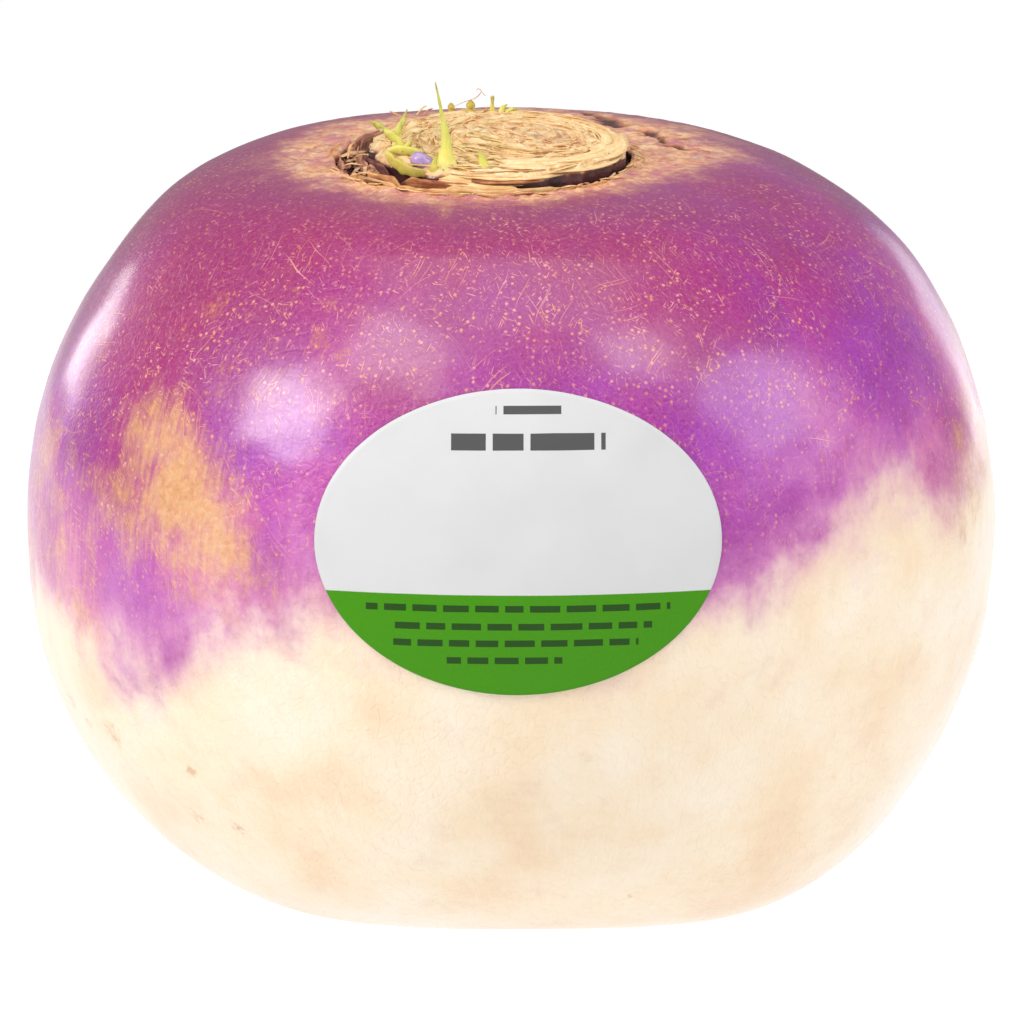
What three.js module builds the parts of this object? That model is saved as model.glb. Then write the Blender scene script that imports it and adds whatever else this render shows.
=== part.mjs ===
// Purple-topped turnip, as trimmed for sale: one swollen root with a crown of dry leaf bases,
// a few young shoots, and an oval paper sticker on its front.
// Millimetres. +Z is up, the front with the sticker faces -Y, the origin is under the middle of the root,
// on the surface that it rests on.
import * as THREE from "three";
import { mergeVertices } from "three/addons/utils/BufferGeometryUtils.js";

// ---- driving dimensions ------------------------------------------------------------------
const BELLY_R = 46.12; // half of the widest width
const FLOOR_Z = -35.36; // the resting face, below the middle of the widest ring
const BASE_BULGE = 1.2; // how far the untouched base would bulge below the resting face
const CROWN_TILT = 9; // degrees that the crown leans towards the front
const CROWN_DX = -2.8; // the crown sits a little to the left
const BASE_DX = 1.337; // the base sits a little to the right
const FLAT_HALF = 13.6; // half the side of the square flat spot that it rests on
const FLAT_EDGE_H = 0.3; // height at which the skin turns towards the flat spot
const RIM_R = 14.1; // ring where the smooth skin ends and the crown groove begins
const DISC_R = 11.9; // the cut crown inside the groove
const DISC_DX = 1.6; // the crown disc is off-centre in its rim
const DISC_H = 1.5; // how far the disc stands above the rim
const GROOVE_D = 2.6; // groove depth below the rim
const CLEAR = 0.3; // clearance between neighbouring pieces
const LABEL_HALF_W = 18.0, LABEL_HALF_H = 13.4; // seen from the front
const LABEL_X = 0.53, LABEL_Z = 3.9; // its middle, from the middle of the root
const LABEL_GAP = 0.34, LABEL_T = 0.25;

// Distance from the middle to the skin, at angles from the crown's axis down to the base.
const ANGLES = [0, 14, 26, 38, 50, 62, 74, 86, 98, 110, 122, 134, 146, 158, 180];
const RADII = [36.136, 36.577, 39.098, 43.174, 45.292, 46.017, 46.182, 46.112, 46.145, 45.975, 45.745, 44.697, 42.667, 40.09, -FLOOR_Z + BASE_BULGE];

// ---- the skin ----------------------------------------------------------------------------
const rad = (d) => (d * Math.PI) / 180;
const smooth = (x, a, b) => { const s = Math.min(1, Math.max(0, (x - a) / (b - a))); return s * s * (3 - 2 * s); };

// A cubic spline with level ends.
function spline(xs, ys) {
  const n = xs.length, a = [], b = [], c = [], d = [];
  for (let i = 0; i < n; i++) {
    const h0 = i ? xs[i] - xs[i - 1] : 0, h1 = i < n - 1 ? xs[i + 1] - xs[i] : 0;
    a[i] = h0; c[i] = h1; b[i] = 2 * (h0 + h1);
    d[i] = 6 * ((i < n - 1 ? (ys[i + 1] - ys[i]) / h1 : 0) - (i ? (ys[i] - ys[i - 1]) / h0 : 0));
  }
  for (let i = 1; i < n; i++) { const w = a[i] / b[i - 1]; b[i] -= w * c[i - 1]; d[i] -= w * d[i - 1]; }
  const m = []; m[n - 1] = d[n - 1] / b[n - 1];
  for (let i = n - 2; i >= 0; i--) m[i] = (d[i] - c[i] * m[i + 1]) / b[i];
  return (x) => {
    let k = 0; while (k < n - 2 && x > xs[k + 1]) k++;
    const h = xs[k + 1] - xs[k], A = (xs[k + 1] - x) / h, B = (x - xs[k]) / h;
    return A * ys[k] + B * ys[k + 1] + (((A ** 3 - A) * m[k] + (B ** 3 - B) * m[k + 1]) * h * h) / 6;
  };
}
const R = spline(ANGLES.map(rad), RADII);

// Turns a point given round the crown's axis (p right, q back, z up) into the root's frame.
function tilted(p, q, z, theta) {
  const t = rad(CROWN_TILT) * (1 - smooth((theta * 180) / Math.PI, 35, 115));
  return [p, q * Math.cos(t) - z * Math.sin(t), q * Math.sin(t) + z * Math.cos(t)];
}
// Low lobes, as a root has, that fade out at the crown and the base.
function lobe(theta, a) {
  const w = Math.sin(theta) ** 2;
  return w * (0.22 * Math.sin(3 * a + 0.6) * Math.sin(a * 1 + 1.1) + 0.16 * Math.sin(5 * a + 2.1 + theta));
}
// Flattens the base onto the resting face with a soft edge.
function settle(z) {
  const s = 0.5 * (z + FLOOR_Z + Math.sqrt((z - FLOOR_Z) ** 2 + 0.16)) - 0.06;
  return Math.max(s, FLOOR_Z);
}
function skin(theta, a) {
  const deg = (theta * 180) / Math.PI, n = 2 + 1.0 * smooth(deg, 120, 160);
  const g = (Math.abs(Math.cos(a)) ** n + Math.abs(Math.sin(a)) ** n) ** (-1 / n);
  const r0 = R(theta) + lobe(theta, a);
  const r = r0 * Math.sin(theta) * g;
  const v = tilted(r * Math.cos(a), r * Math.sin(a), r0 * Math.cos(theta), theta);
  v[0] += CROWN_DX * (1 - smooth(deg, 20, 60)) + BASE_DX * smooth(deg, 110, 160);
  v[2] = settle(v[2]) - FLOOR_Z;
  return v;
}
// The angle at which the plain skin is r from the crown's axis, and its height there.
function thetaAt(r) {
  let lo = 0, hi = rad(80);
  for (let i = 0; i < 50; i++) { const m = (lo + hi) / 2; if (R(m) * Math.sin(m) < r) lo = m; else hi = m; }
  return (lo + hi) / 2;
}
const topZ = (r) => { const t = thetaAt(r); return R(t) * Math.cos(t); };

// A point of the crown: p right and q back of its axis, h above the plain skin.
function crown(p, q, h) {
  const v = tilted(p, q, topZ(Math.hypot(p, q)) + h, 0);
  return [v[0] + CROWN_DX, v[1], v[2] - FLOOR_Z];
}
// Where the disc's edge lies from the rim's middle, in direction a, and how deep the groove outside it is.
const discEdge = (a) => DISC_DX * Math.cos(a) + Math.sqrt(DISC_R ** 2 - (DISC_DX * Math.sin(a)) ** 2);
const grooveDepth = (a) => GROOVE_D * Math.min(1, (RIM_R - discEdge(a)) / 2);

// ---- helpers that close a surface ----------------------------------------------------------
function solid(points, faces) {
  const g = new THREE.BufferGeometry();
  g.setAttribute("position", new THREE.BufferAttribute(new Float32Array(points.flat()), 3));
  g.setIndex(faces.flat());
  const m = mergeVertices(g, 1e-4);
  m.computeVertexNormals();
  return m;
}
// Rings of n points each, from a first point to a last point; a ring runs counter-clockwise seen from the first end.
function rings(first, list, last) {
  const pts = [first, ...list.flat(), last], n = list[0].length, f = [];
  const at = (k, i) => 1 + k * n + (i % n);
  for (let i = 0; i < n; i++) f.push([0, at(0, i), at(0, i + 1)]);
  for (let k = 0; k < list.length - 1; k++)
    for (let i = 0; i < n; i++) {
      f.push([at(k, i), at(k + 1, i), at(k + 1, i + 1)]);
      f.push([at(k, i), at(k + 1, i + 1), at(k, i + 1)]);
    }
  for (let i = 0; i < n; i++) f.push([pts.length - 1, at(list.length - 1, i + 1), at(list.length - 1, i)]);
  return solid(pts, f);
}
// A tapering stalk along a smooth curve through points, with a half-width and a half-thickness at each.
function stalk(path, widths, sides = 8, steps = 8, flat = 1) {
  const curve = new THREE.CatmullRomCurve3(path.map((v) => new THREE.Vector3(...v)));
  const frames = curve.computeFrenetFrames(steps, false), list = [];
  for (let k = 0; k <= steps; k++) {
    const t = k / steps, c = curve.getPoint(t), s = t * (widths.length - 1), i = Math.min(Math.floor(s), widths.length - 2);
    const w = widths[i] + (widths[i + 1] - widths[i]) * (s - i), ring = [];
    for (let j = 0; j < sides; j++) {
      const a = (2 * Math.PI * j) / sides;
      const o = frames.normals[k].clone().multiplyScalar(Math.cos(a) * w).add(frames.binormals[k].clone().multiplyScalar(Math.sin(a) * w * flat));
      ring.push([c.x + o.x, c.y + o.y, c.z + o.z]);
    }
    list.push(ring);
  }
  const a = curve.getPoint(0), b = curve.getPoint(1);
  const ta = curve.getTangent(0), tb = curve.getTangent(1);
  const e0 = widths[0] * 0.4, e1 = widths[widths.length - 1] * 0.6;
  return oriented(rings([a.x - ta.x * e0, a.y - ta.y * e0, a.z - ta.z * e0], list, [b.x + tb.x * e1, b.y + tb.y * e1, b.z + tb.z * e1]));
}
// Turns every face outwards.
function oriented(g) {
  const p = g.attributes.position, ix = g.index; let v = 0;
  const A = new THREE.Vector3(), B = new THREE.Vector3(), C = new THREE.Vector3();
  for (let i = 0; i < ix.count; i += 3) {
    A.fromBufferAttribute(p, ix.getX(i)); B.fromBufferAttribute(p, ix.getX(i + 1)); C.fromBufferAttribute(p, ix.getX(i + 2));
    v += A.dot(B.cross(C));
  }
  if (v < 0) for (let i = 0; i < ix.count; i += 3) { const b = ix.getX(i + 1); ix.setX(i + 1, ix.getX(i + 2)); ix.setX(i + 2, b); }
  g.computeVertexNormals();
  return g;
}
// A dry leaf base: an upright curved strip that stands in the crown groove from angle a0 to a1 (degrees, 0 right, 90 back),
// at share s of the groove's width, rising from h0 to h1 and leaning out by lean.
function leafBase(a0, a1, s, t, h0, h1, lean) {
  const n = Math.max(5, Math.round(Math.abs(a1 - a0) / 11)), list = [];
  for (let k = 0; k <= n; k++) {
    const u = k / n, a = rad(a0 + (a1 - a0) * u), edge = discEdge(a) + CLEAR + 0.25, outer = RIM_R - CLEAR - 0.15;
    const r = edge + (outer - edge) * s, hh = h0 + (h1 - h0) * (0.35 + 0.65 * Math.sin(Math.PI * (0.08 + 0.84 * u)));
    const half = t * (0.45 + 0.55 * Math.sin(Math.PI * (0.1 + 0.8 * u))) / 2;
    const c = Math.cos(a), d = Math.sin(a), at = (rr, h) => crown(rr * c, rr * d, h), foot = Math.max(h0, CLEAR + 0.06 - 0.92 * grooveDepth(a));
    list.push([at(r - half, foot), at(r + half, foot), at(r + half + lean, hh), at(r - half + lean, hh)]);
  }
  const mid = (ring) => [0, 1, 2].map((i) => ring.reduce((x, v) => x + v[i], 0) / ring.length);
  return oriented(rings(mid(list[0]), list, mid(list[list.length - 1])));
}

// ---- materials -----------------------------------------------------------------------------
const finish = (color, roughness) => new THREE.MeshStandardMaterial({ color, roughness, metalness: 0 });
const SKIN = finish(0xb05aa8, 0.42), DRY = finish(0xd9b27a, 0.85), HUSK = finish(0x9a6f48, 0.9);
const GREEN = finish(0xc4cc4e, 0.5), LILAC = finish(0xa487c4, 0.3), PAPER = finish(0xececec, 0.45);

const turnip = new THREE.Group();
turnip.name = "turnip";
function add(name, geometry, material, parent = turnip) {
  const m = new THREE.Mesh(geometry, material);
  m.name = name;
  parent.add(m);
  return m;
}

// ---- the root ------------------------------------------------------------------------------
{
  const N = 64, list = [];
  const ringAt = (f) => Array.from({ length: N }, (_, i) => f((2 * Math.PI * i) / N));
  // the cut crown: a low dome, then the groove round it
  for (const r of [3.5, 7, 9.8, 11.4]) list.push(ringAt((a) => crown(DISC_DX + r * Math.cos(a), r * Math.sin(a), DISC_H + 0.25 * (1 - (r / DISC_R) ** 2))));
  list.push(ringAt((a) => crown(DISC_DX + DISC_R * Math.cos(a), DISC_R * Math.sin(a), DISC_H - 0.5)));
  for (const [s, d] of [[0.08, 0.92], [0.5, 1.0], [0.9, 0.92]])
    list.push(ringAt((a) => {
      const r = discEdge(a) + (RIM_R - discEdge(a)) * s;
      return crown(r * Math.cos(a), r * Math.sin(a), -grooveDepth(a) * d);
    }));
  list.push(ringAt((a) => crown((RIM_R - 0.06) * Math.cos(a), (RIM_R - 0.06) * Math.sin(a), -0.3)));
  for (const r of [RIM_R + 0.5, 17, 20.5, 24.5]) { const t = thetaAt(r); list.push(ringAt((a) => skin(t, a))); }
  // the skin, down to where it turns under
  let lo = rad(120), hi = rad(175);
  for (let i = 0; i < 50; i++) { const m = (lo + hi) / 2; if (R(m) * Math.cos(m) > FLOOR_Z + FLAT_EDGE_H) lo = m; else hi = m; }
  const steps = 20, start = rad(42);
  for (let k = 0; k <= steps; k++) list.push(ringAt((a) => skin(start + ((lo - start) * k) / steps, a)));
  // the flat spot: a square with slightly hollow sides, so that it stands on its corners
  list.push(ringAt((a) => {
    const r = (FLAT_HALF / Math.max(Math.abs(Math.cos(a)), Math.abs(Math.sin(a)))) * (1 - 0.006 * Math.abs(Math.cos(2 * a)));
    return [BASE_DX + r * Math.cos(a), r * Math.sin(a), 0];
  }));
  add("turnip_root", oriented(rings(crown(DISC_DX, 0, DISC_H + 0.25), list, [BASE_DX, 0, 0])), SKIN);
}

// ---- dry leaf bases in the groove ------------------------------------------------------------
const crownGroup = new THREE.Group();
crownGroup.name = "crown";
turnip.add(crownGroup);
const bases = [
  // name, from, to, share of the groove, thickness, foot, top, lean
  ["leaf_base_front", 236, 298, 0.7, 0.4, -2.1, 0.75, 0.05],
  ["leaf_base_front_inner", 228, 272, 0.06, 0.34, -1.9, 0.8, 0.0],
  ["leaf_base_front_left", 203, 234, 0.85, 0.42, -2.0, 0.5, 0.05],
  ["leaf_base_left_outer", 168, 199, 0.85, 0.5, -2.1, 0.7, 0.05],
  ["leaf_base_left_inner", 158, 216, 0.36, 0.5, -2.1, 1.15, 0.1],
  ["leaf_base_back_left", 124, 160, 0.72, 0.45, -2.0, 0.85, 0.05],
  ["leaf_base_back", 92, 120, 0.5, 0.42, -1.7, 0.9, 0.05],
];
for (const [name, ...b] of bases) add(name, leafBase(...b), name.includes("inner") || name.includes("front") ? DRY : HUSK, crownGroup);

// ---- young shoots -----------------------------------------------------------------------------
const on = 2.05; // just above the disc
const edge = (p) => crown(...p);
add("shoot_tall", stalk([[-3.15, -9.75, on + 0.75], [-3.3, -9.6, 3.2], [-3.5, -9.2, 5.0], [-3.95, -8.8, 7.1], [-4.28, -8.4, 9.0]].map(edge), [0.95, 0.9, 0.6, 0.36, 0.12], 8, 8, 0.6), GREEN, crownGroup);
add("shoot_stub", stalk([[0.2, -9.9, on + 0.4], [0.15, -9.85, 2.8], [-0.1, -9.75, 3.4]].map(edge), [0.6, 0.55, 0.25], 8, 6, 0.7), GREEN, crownGroup);
add("shoot_left", stalk([[-7.0, -5.3, on + 0.75], [-8.1, -5.0, 3.1], [-9.3, -4.6, 3.85], [-10.4, -4.3, 4.3]].map(edge), [0.75, 0.8, 0.5, 0.22], 8, 7, 0.7), GREEN, crownGroup);
add("shoot_left_upright", stalk([[-7.9, -3.3, on + 0.5], [-7.55, -3.1, 3.7], [-7.1, -2.8, 4.85]].map(edge), [0.5, 0.55, 0.22], 8, 6, 0.7), GREEN, crownGroup);
add("bud_sheath", stalk([[-8.5, -6.15, on + 0.2], [-7.15, -8.15, on + 0.25], [-5.0, -9.55, on + 0.2]].map(edge), [0.25, 0.45, 0.25], 8, 8, 0.75), GREEN, crownGroup);
{
  const g = new THREE.SphereGeometry(1, 14, 9);
  g.deleteAttribute("normal"); g.deleteAttribute("uv");
  const bud = mergeVertices(g, 1e-4);
  const m = add("leaf_bud", oriented(bud), LILAC, crownGroup);
  m.position.set(...crown(-5.15, -7.1, on + 0.8));
  m.scale.set(1.42, 0.85, 0.8);
  m.rotation.set(0, rad(20), rad(-45));
}
add("rear_stub_left", stalk([[-3.2, 9.4, on + 0.45], [-3.2, 9.5, 3.1]].map(edge), [0.5, 0.42], 8, 4), GREEN, crownGroup);
add("rear_stub_middle", stalk([[-1.3, 9.4, on + 0.5], [-1.25, 9.5, 3.5]].map(edge), [0.55, 0.5], 8, 4), GREEN, crownGroup);
add("rear_stub_tall", stalk([[1.05, 9.5, on + 0.4], [1.0, 9.6, 4.0]].map(edge), [0.42, 0.3], 8, 4), GREEN, crownGroup);
add("rear_stub_right", stalk([[2.5, 9.4, on + 0.4], [2.5, 9.5, 2.85]].map(edge), [0.4, 0.3], 8, 4), GREEN, crownGroup);

// ---- the sticker --------------------------------------------------------------------------------
{
  // The skin's front surface above (x, z), found by closing in on the point of the skin with that x and z.
  const front = (x, z) => {
    let th = Math.PI / 2 - z / 46, a = -Math.PI / 2 + x / 46;
    for (let i = 0; i < 30; i++) {
      const v = skin(th, a), dx = x - v[0], dz = z - FLOOR_Z - v[2];
      a += dx / 46 / Math.max(0.3, Math.sin(th)); th -= dz / 46;
    }
    return [th, a];
  };
  const lift = (th, a, h) => {
    const e = 1e-3, p = skin(th, a), u = skin(th + e, a), v = skin(th, a + e);
    const du = new THREE.Vector3(u[0] - p[0], u[1] - p[1], u[2] - p[2]), dv = new THREE.Vector3(v[0] - p[0], v[1] - p[1], v[2] - p[2]);
    const n = du.cross(dv).normalize();
    if (n.y > 0) n.negate();
    return [p[0] + n.x * h, p[1] + n.y * h, p[2] + n.z * h];
  };
  const N = 48, shares = [0.28, 0.55, 0.8, 1], inner = [], outer = [];
  for (const s of shares) {
    const ri = [], ro = [];
    for (let i = 0; i < N; i++) {
      const a = (2 * Math.PI * i) / N, [th, az] = front(LABEL_X + s * LABEL_HALF_W * Math.cos(a), LABEL_Z + s * LABEL_HALF_H * Math.sin(a));
      ri.push(lift(th, az, LABEL_GAP)); ro.push(lift(th, az, LABEL_GAP + LABEL_T));
    }
    inner.push(ri); outer.push(ro);
  }
  const [t0, a0] = front(LABEL_X, LABEL_Z);
  add("oval_label", oriented(rings(lift(t0, a0, LABEL_GAP), [...inner, ...outer.reverse()], lift(t0, a0, LABEL_GAP + LABEL_T))), PAPER);
}

export default turnip;
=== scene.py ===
# The looks of a purple-topped turnip with an oval sticker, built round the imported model. Lengths in the tables are millimetres.
import bpy, math
import numpy as np
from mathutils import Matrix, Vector


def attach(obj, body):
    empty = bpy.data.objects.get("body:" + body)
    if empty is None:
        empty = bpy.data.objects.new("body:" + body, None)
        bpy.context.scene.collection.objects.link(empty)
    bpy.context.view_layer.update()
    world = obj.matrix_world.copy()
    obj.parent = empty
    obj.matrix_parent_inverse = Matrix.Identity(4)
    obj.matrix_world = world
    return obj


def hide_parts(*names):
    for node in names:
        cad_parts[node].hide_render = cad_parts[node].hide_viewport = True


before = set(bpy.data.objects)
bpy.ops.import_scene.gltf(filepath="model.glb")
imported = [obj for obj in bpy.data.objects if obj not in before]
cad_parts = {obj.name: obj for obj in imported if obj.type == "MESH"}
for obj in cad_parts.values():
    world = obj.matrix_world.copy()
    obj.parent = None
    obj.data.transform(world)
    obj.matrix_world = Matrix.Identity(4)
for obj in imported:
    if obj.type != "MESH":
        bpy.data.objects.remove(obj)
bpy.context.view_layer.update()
scene = bpy.context.scene
MM = 0.001
rng = np.random.default_rng(7)

# ================================================================ shape of the root, as in the CAD model
FLOOR, BULGE, TILT, CROWN_DX, BASE_DX = -35.36, 1.2, 9.0, -2.8, 1.337
RIM_R, DISC_R, DISC_DX, DISC_H, GROOVE_D = 14.1, 11.9, 1.6, 1.5, 2.6
ANGLES = np.radians([0, 14, 26, 38, 50, 62, 74, 86, 98, 110, 122, 134, 146, 158, 180])
RADII = np.array([36.136, 36.577, 39.098, 43.174, 45.292, 46.017, 46.182, 46.112, 46.145, 45.975, 45.745, 44.697, 42.667, 40.09, -FLOOR + BULGE])


def spline(xs, ys):
    n = len(xs)
    h = np.diff(xs)
    A = np.zeros((n, n)); d = np.zeros(n)
    for i in range(n):
        h0 = h[i - 1] if i else 0.0
        h1 = h[i] if i < n - 1 else 0.0
        A[i, i] = 2 * (h0 + h1)
        if i: A[i, i - 1] = h0
        if i < n - 1: A[i, i + 1] = h1
        d[i] = 6 * (((ys[i + 1] - ys[i]) / h1 if i < n - 1 else 0.0) - ((ys[i] - ys[i - 1]) / h0 if i else 0.0))
    m = np.linalg.solve(A, d)

    def f(x):
        x = np.asarray(x, float)
        k = np.clip(np.searchsorted(xs, x, side="right") - 1, 0, n - 2)
        H = xs[k + 1] - xs[k]
        a = (xs[k + 1] - x) / H; b = (x - xs[k]) / H
        return a * ys[k] + b * ys[k + 1] + ((a ** 3 - a) * m[k] + (b ** 3 - b) * m[k + 1]) * H * H / 6
    return f


R = spline(ANGLES, RADII)


def smooth(x, a, b):
    s = np.clip((np.asarray(x, float) - a) / (b - a), 0, 1)
    return s * s * (3 - 2 * s)


def hashed(i, j, k, seed):
    with np.errstate(over="ignore"):
        h = (i.astype(np.uint32) * np.uint32(0x8DA6B343)) ^ (j.astype(np.uint32) * np.uint32(0xD8163841)) ^ (k.astype(np.uint32) * np.uint32(0xCB1AB31F)) ^ np.uint32((seed * 0x9E3779B1) & 0xFFFFFFFF)
        h ^= h >> np.uint32(16); h *= np.uint32(0x7FEB352D); h ^= h >> np.uint32(15); h *= np.uint32(0x846CA68B); h ^= h >> np.uint32(16)
    return h.astype(np.float64) / 4294967295.0


def vnoise(P, seed=0):
    """Smooth value noise, -1 to 1, at points P (..., 3)."""
    P = np.asarray(P, float)
    f = np.floor(P); t = P - f
    t = t * t * t * (t * (t * 6 - 15) + 10)
    I = f.astype(np.int64)
    out = 0.0
    for dx in (0, 1):
        for dy in (0, 1):
            for dz in (0, 1):
                w = (t[..., 0] if dx else 1 - t[..., 0]) * (t[..., 1] if dy else 1 - t[..., 1]) * (t[..., 2] if dz else 1 - t[..., 2])
                out = out + w * hashed(I[..., 0] + dx, I[..., 1] + dy, I[..., 2] + dz, seed)
    return out * 2 - 1


def fbm(P, octaves=3, seed=0, gain=0.5):
    s = 0.0; a = 1.0; tot = 0.0
    for o in range(octaves):
        s = s + a * vnoise(np.asarray(P) * 2.0 ** o + 17.3 * o, seed + o)
        tot += a; a *= gain
    return s / tot


def v3(x, y, z):
    x, y, z = np.broadcast_arrays(x, y, z)
    return np.stack([x, y, z], -1).astype(float)


def tilted(p, q, z, theta):
    t = np.radians(TILT) * (1 - smooth(np.degrees(theta), 35, 115))
    return v3(p, q * np.cos(t) - z * np.sin(t), q * np.sin(t) + z * np.cos(t))


def lobe(th, a):
    return np.sin(th) ** 2 * (0.22 * np.sin(3 * a + 0.6) * np.sin(a + 1.1) + 0.16 * np.sin(5 * a + 2.1 + th))


def swell(th, a):
    """What the CAD model leaves out: soft dents and swells of the skin, up to about 0.4 mm."""
    w = np.sin(th) ** 1.5
    P = v3(np.cos(a) * np.sin(th), np.sin(a) * np.sin(th), np.cos(th))
    s = 0.28 * fbm(P * 2.6 + 3.1, 2, 11) + 0.14 * fbm(P * 7.5 + 1.7, 2, 23)
    # a shallow furrow down the front from the crown, and one at the back
    front = np.exp(-((np.mod(a + np.pi / 2 + np.pi, 2 * np.pi) - np.pi) / 0.2) ** 2) * np.exp(-((th - 0.95) / 0.42) ** 2)
    back = np.exp(-((np.mod(a - 1.9 + np.pi, 2 * np.pi) - np.pi) / 0.25) ** 2) * np.exp(-((th - 1.0) / 0.5) ** 2)
    return w * s - 0.5 * front - 0.35 * back


def skin(th, a):
    th, a = np.broadcast_arrays(np.asarray(th, float), np.asarray(a, float))
    deg = np.degrees(th); n = 2 + smooth(deg, 120, 160)
    g = (np.abs(np.cos(a)) ** n + np.abs(np.sin(a)) ** n) ** (-1 / n)
    r0 = R(th) + lobe(th, a) + swell(th, a) * smooth(deg, 21, 34) * (1 - smooth(deg, 138, 152)) - 0.1 * smooth(deg, 30, 60) * (1 - smooth(deg, 120, 150))
    r = r0 * np.sin(th) * g
    v = tilted(r * np.cos(a), r * np.sin(a), r0 * np.cos(th), th)
    v[..., 0] += CROWN_DX * (1 - smooth(deg, 20, 60)) + BASE_DX * smooth(deg, 110, 160)
    z = v[..., 2]
    s = 0.5 * (z + FLOOR + np.sqrt((z - FLOOR) ** 2 + 0.16)) - 0.06
    v[..., 2] = np.maximum(s, FLOOR) - FLOOR
    return v


_t = np.radians(np.linspace(0, 80, 1601)); _r = R(_t) * np.sin(_t)


def theta_at(r): return np.interp(r, _r, _t)
def top_z(r): t = theta_at(r); return R(t) * np.cos(t)


def crown(p, q, h):
    """A point of the crown: p right and q back of its axis, h above the plain skin."""
    v = tilted(p, q, top_z(np.hypot(p, q)) + h, 0.0)
    v[..., 0] += CROWN_DX; v[..., 2] -= FLOOR
    return v


def disc_edge(a): return DISC_DX * np.cos(a) + np.sqrt(DISC_R ** 2 - (DISC_DX * np.sin(a)) ** 2)


# ================================================================ mesh helpers
def new_object(name, V, faces, attrs=None, uv=None, smooth_shade=True):
    me = bpy.data.meshes.new(name)
    V = np.asarray(V, float) * MM
    faces = list(faces)
    me.from_pydata(V.tolist(), [], faces)
    me.update()
    for k, val in (attrs or {}).items():
        val = np.asarray(val, np.float32)
        if val.ndim == 1:
            me.attributes.new(k, "FLOAT", "POINT").data.foreach_set("value", val)
        else:
            me.attributes.new(k, "FLOAT_VECTOR", "POINT").data.foreach_set("vector", val.ravel())
    if smooth_shade:
        me.polygons.foreach_set("use_smooth", [True] * len(me.polygons))
    me.update()
    o = bpy.data.objects.new(name, me)
    scene.collection.objects.link(o)
    return o


def ring_faces(nr, n, first, last, base=0):
    """Faces for nr rings of n points between a first and a last point: index 0 is first, then rings, then last."""
    F = []
    at = lambda k, i: base + 1 + k * n + i % n
    for i in range(n): F.append((base, at(0, i), at(0, i + 1)))
    for k in range(nr - 1):
        for i in range(n): F.append((at(k, i), at(k + 1, i), at(k + 1, i + 1), at(k, i + 1)))
    for i in range(n): F.append((base + 1 + nr * n, at(nr - 1, i + 1), at(nr - 1, i)))
    return F


def outward(V, F):
    """The faces of one closed shape, turned round if they point inwards."""
    t = np.array([(f[0], f[i], f[i + 1]) for f in F for i in range(1, len(f) - 1)])
    a, b, c = (V[t[:, k]] - V[0] for k in range(3))
    return F if (a * np.cross(b, c)).sum() > 0 else [tuple(reversed(f)) for f in F]


class Build:
    """Collects closed shapes with per-vertex attributes into one mesh."""
    def __init__(self): self.V = []; self.F = []; self.A = {}; self.n = 0

    def add(self, V, F, **attrs):
        V = np.asarray(V, float); F = outward(V, F)
        self.V.append(V); self.F += [tuple(i + self.n for i in f) for f in F]
        for k in set(self.A) | set(attrs):
            val = attrs.get(k, 0.0)
            val = np.broadcast_to(np.asarray(val, float), (len(V),)) if np.ndim(val) < 2 else np.asarray(val, float)
            self.A.setdefault(k, [np.zeros(self.n)] if self.n else []).append(val)
        self.n += len(V)

    def make(self, name):
        return new_object(name, np.concatenate(self.V), self.F, {k: np.concatenate(v) for k, v in self.A.items()})


def catmull(P, n):
    P = np.asarray(P, float)
    Q = np.vstack([2 * P[0] - P[1], P, 2 * P[-1] - P[-2]])
    out = []
    for t in np.linspace(0, len(P) - 1, n):
        i = min(int(t), len(P) - 2); u = t - i
        a, b, c, d = Q[i], Q[i + 1], Q[i + 2], Q[i + 3]
        out.append(0.5 * (2 * b + (c - a) * u + (2 * a - 5 * b + 4 * c - d) * u * u + (3 * b - a - 3 * c + d) * u ** 3))
    return np.array(out)


def stalk(path, widths, thick, side, n=24, sec=12, bumps=0.0, seed=1, cup=0.0, build=None, **attrs):
    """A tapering shoot along a path (mm, row frame), its wide side towards side."""
    C = catmull(path, n)
    T = np.gradient(C, axis=0); T /= np.linalg.norm(T, axis=1)[:, None]
    s = np.asarray(side, float)
    S = s - (T @ s)[:, None] * T; S /= np.linalg.norm(S, axis=1)[:, None]
    N = np.cross(T, S)
    u = np.linspace(0, 1, n)
    w = np.interp(u, np.linspace(0, 1, len(widths)), widths); t = np.interp(u, np.linspace(0, 1, len(thick)), thick)
    k = np.ones(5) / 5
    w = np.convolve(np.pad(w, 2, mode="edge"), k, "valid"); t = np.convolve(np.pad(t, 2, mode="edge"), k, "valid")
    a = 2 * np.pi * np.arange(sec) / sec
    V = []
    for i in range(n):
        ring = C[i] + np.outer(np.cos(a) * w[i], S[i]) + np.outer(np.sin(a) * t[i] + cup * w[i] * (np.cos(a) ** 2 - 0.5), N[i])
        V.append(ring)
    V = np.array(V)
    if bumps: V = V + (V - C[:, None]) / (np.linalg.norm(V - C[:, None], axis=-1, keepdims=True) + 1e-6) * bumps * vnoise(V * 1.7 + seed * 5.1, seed)[..., None]
    V = np.vstack([[C[0] - T[0] * w[0] * 0.4], V.reshape(-1, 3), [C[-1] + T[-1] * w[-1] * 0.7]])
    U = np.concatenate([[0], np.repeat(u, sec), [1]])
    F = ring_faces(n, sec, 0, 0)
    b = build if build is not None else Build()
    b.add(V, F, along=U, **attrs)
    return b


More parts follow.
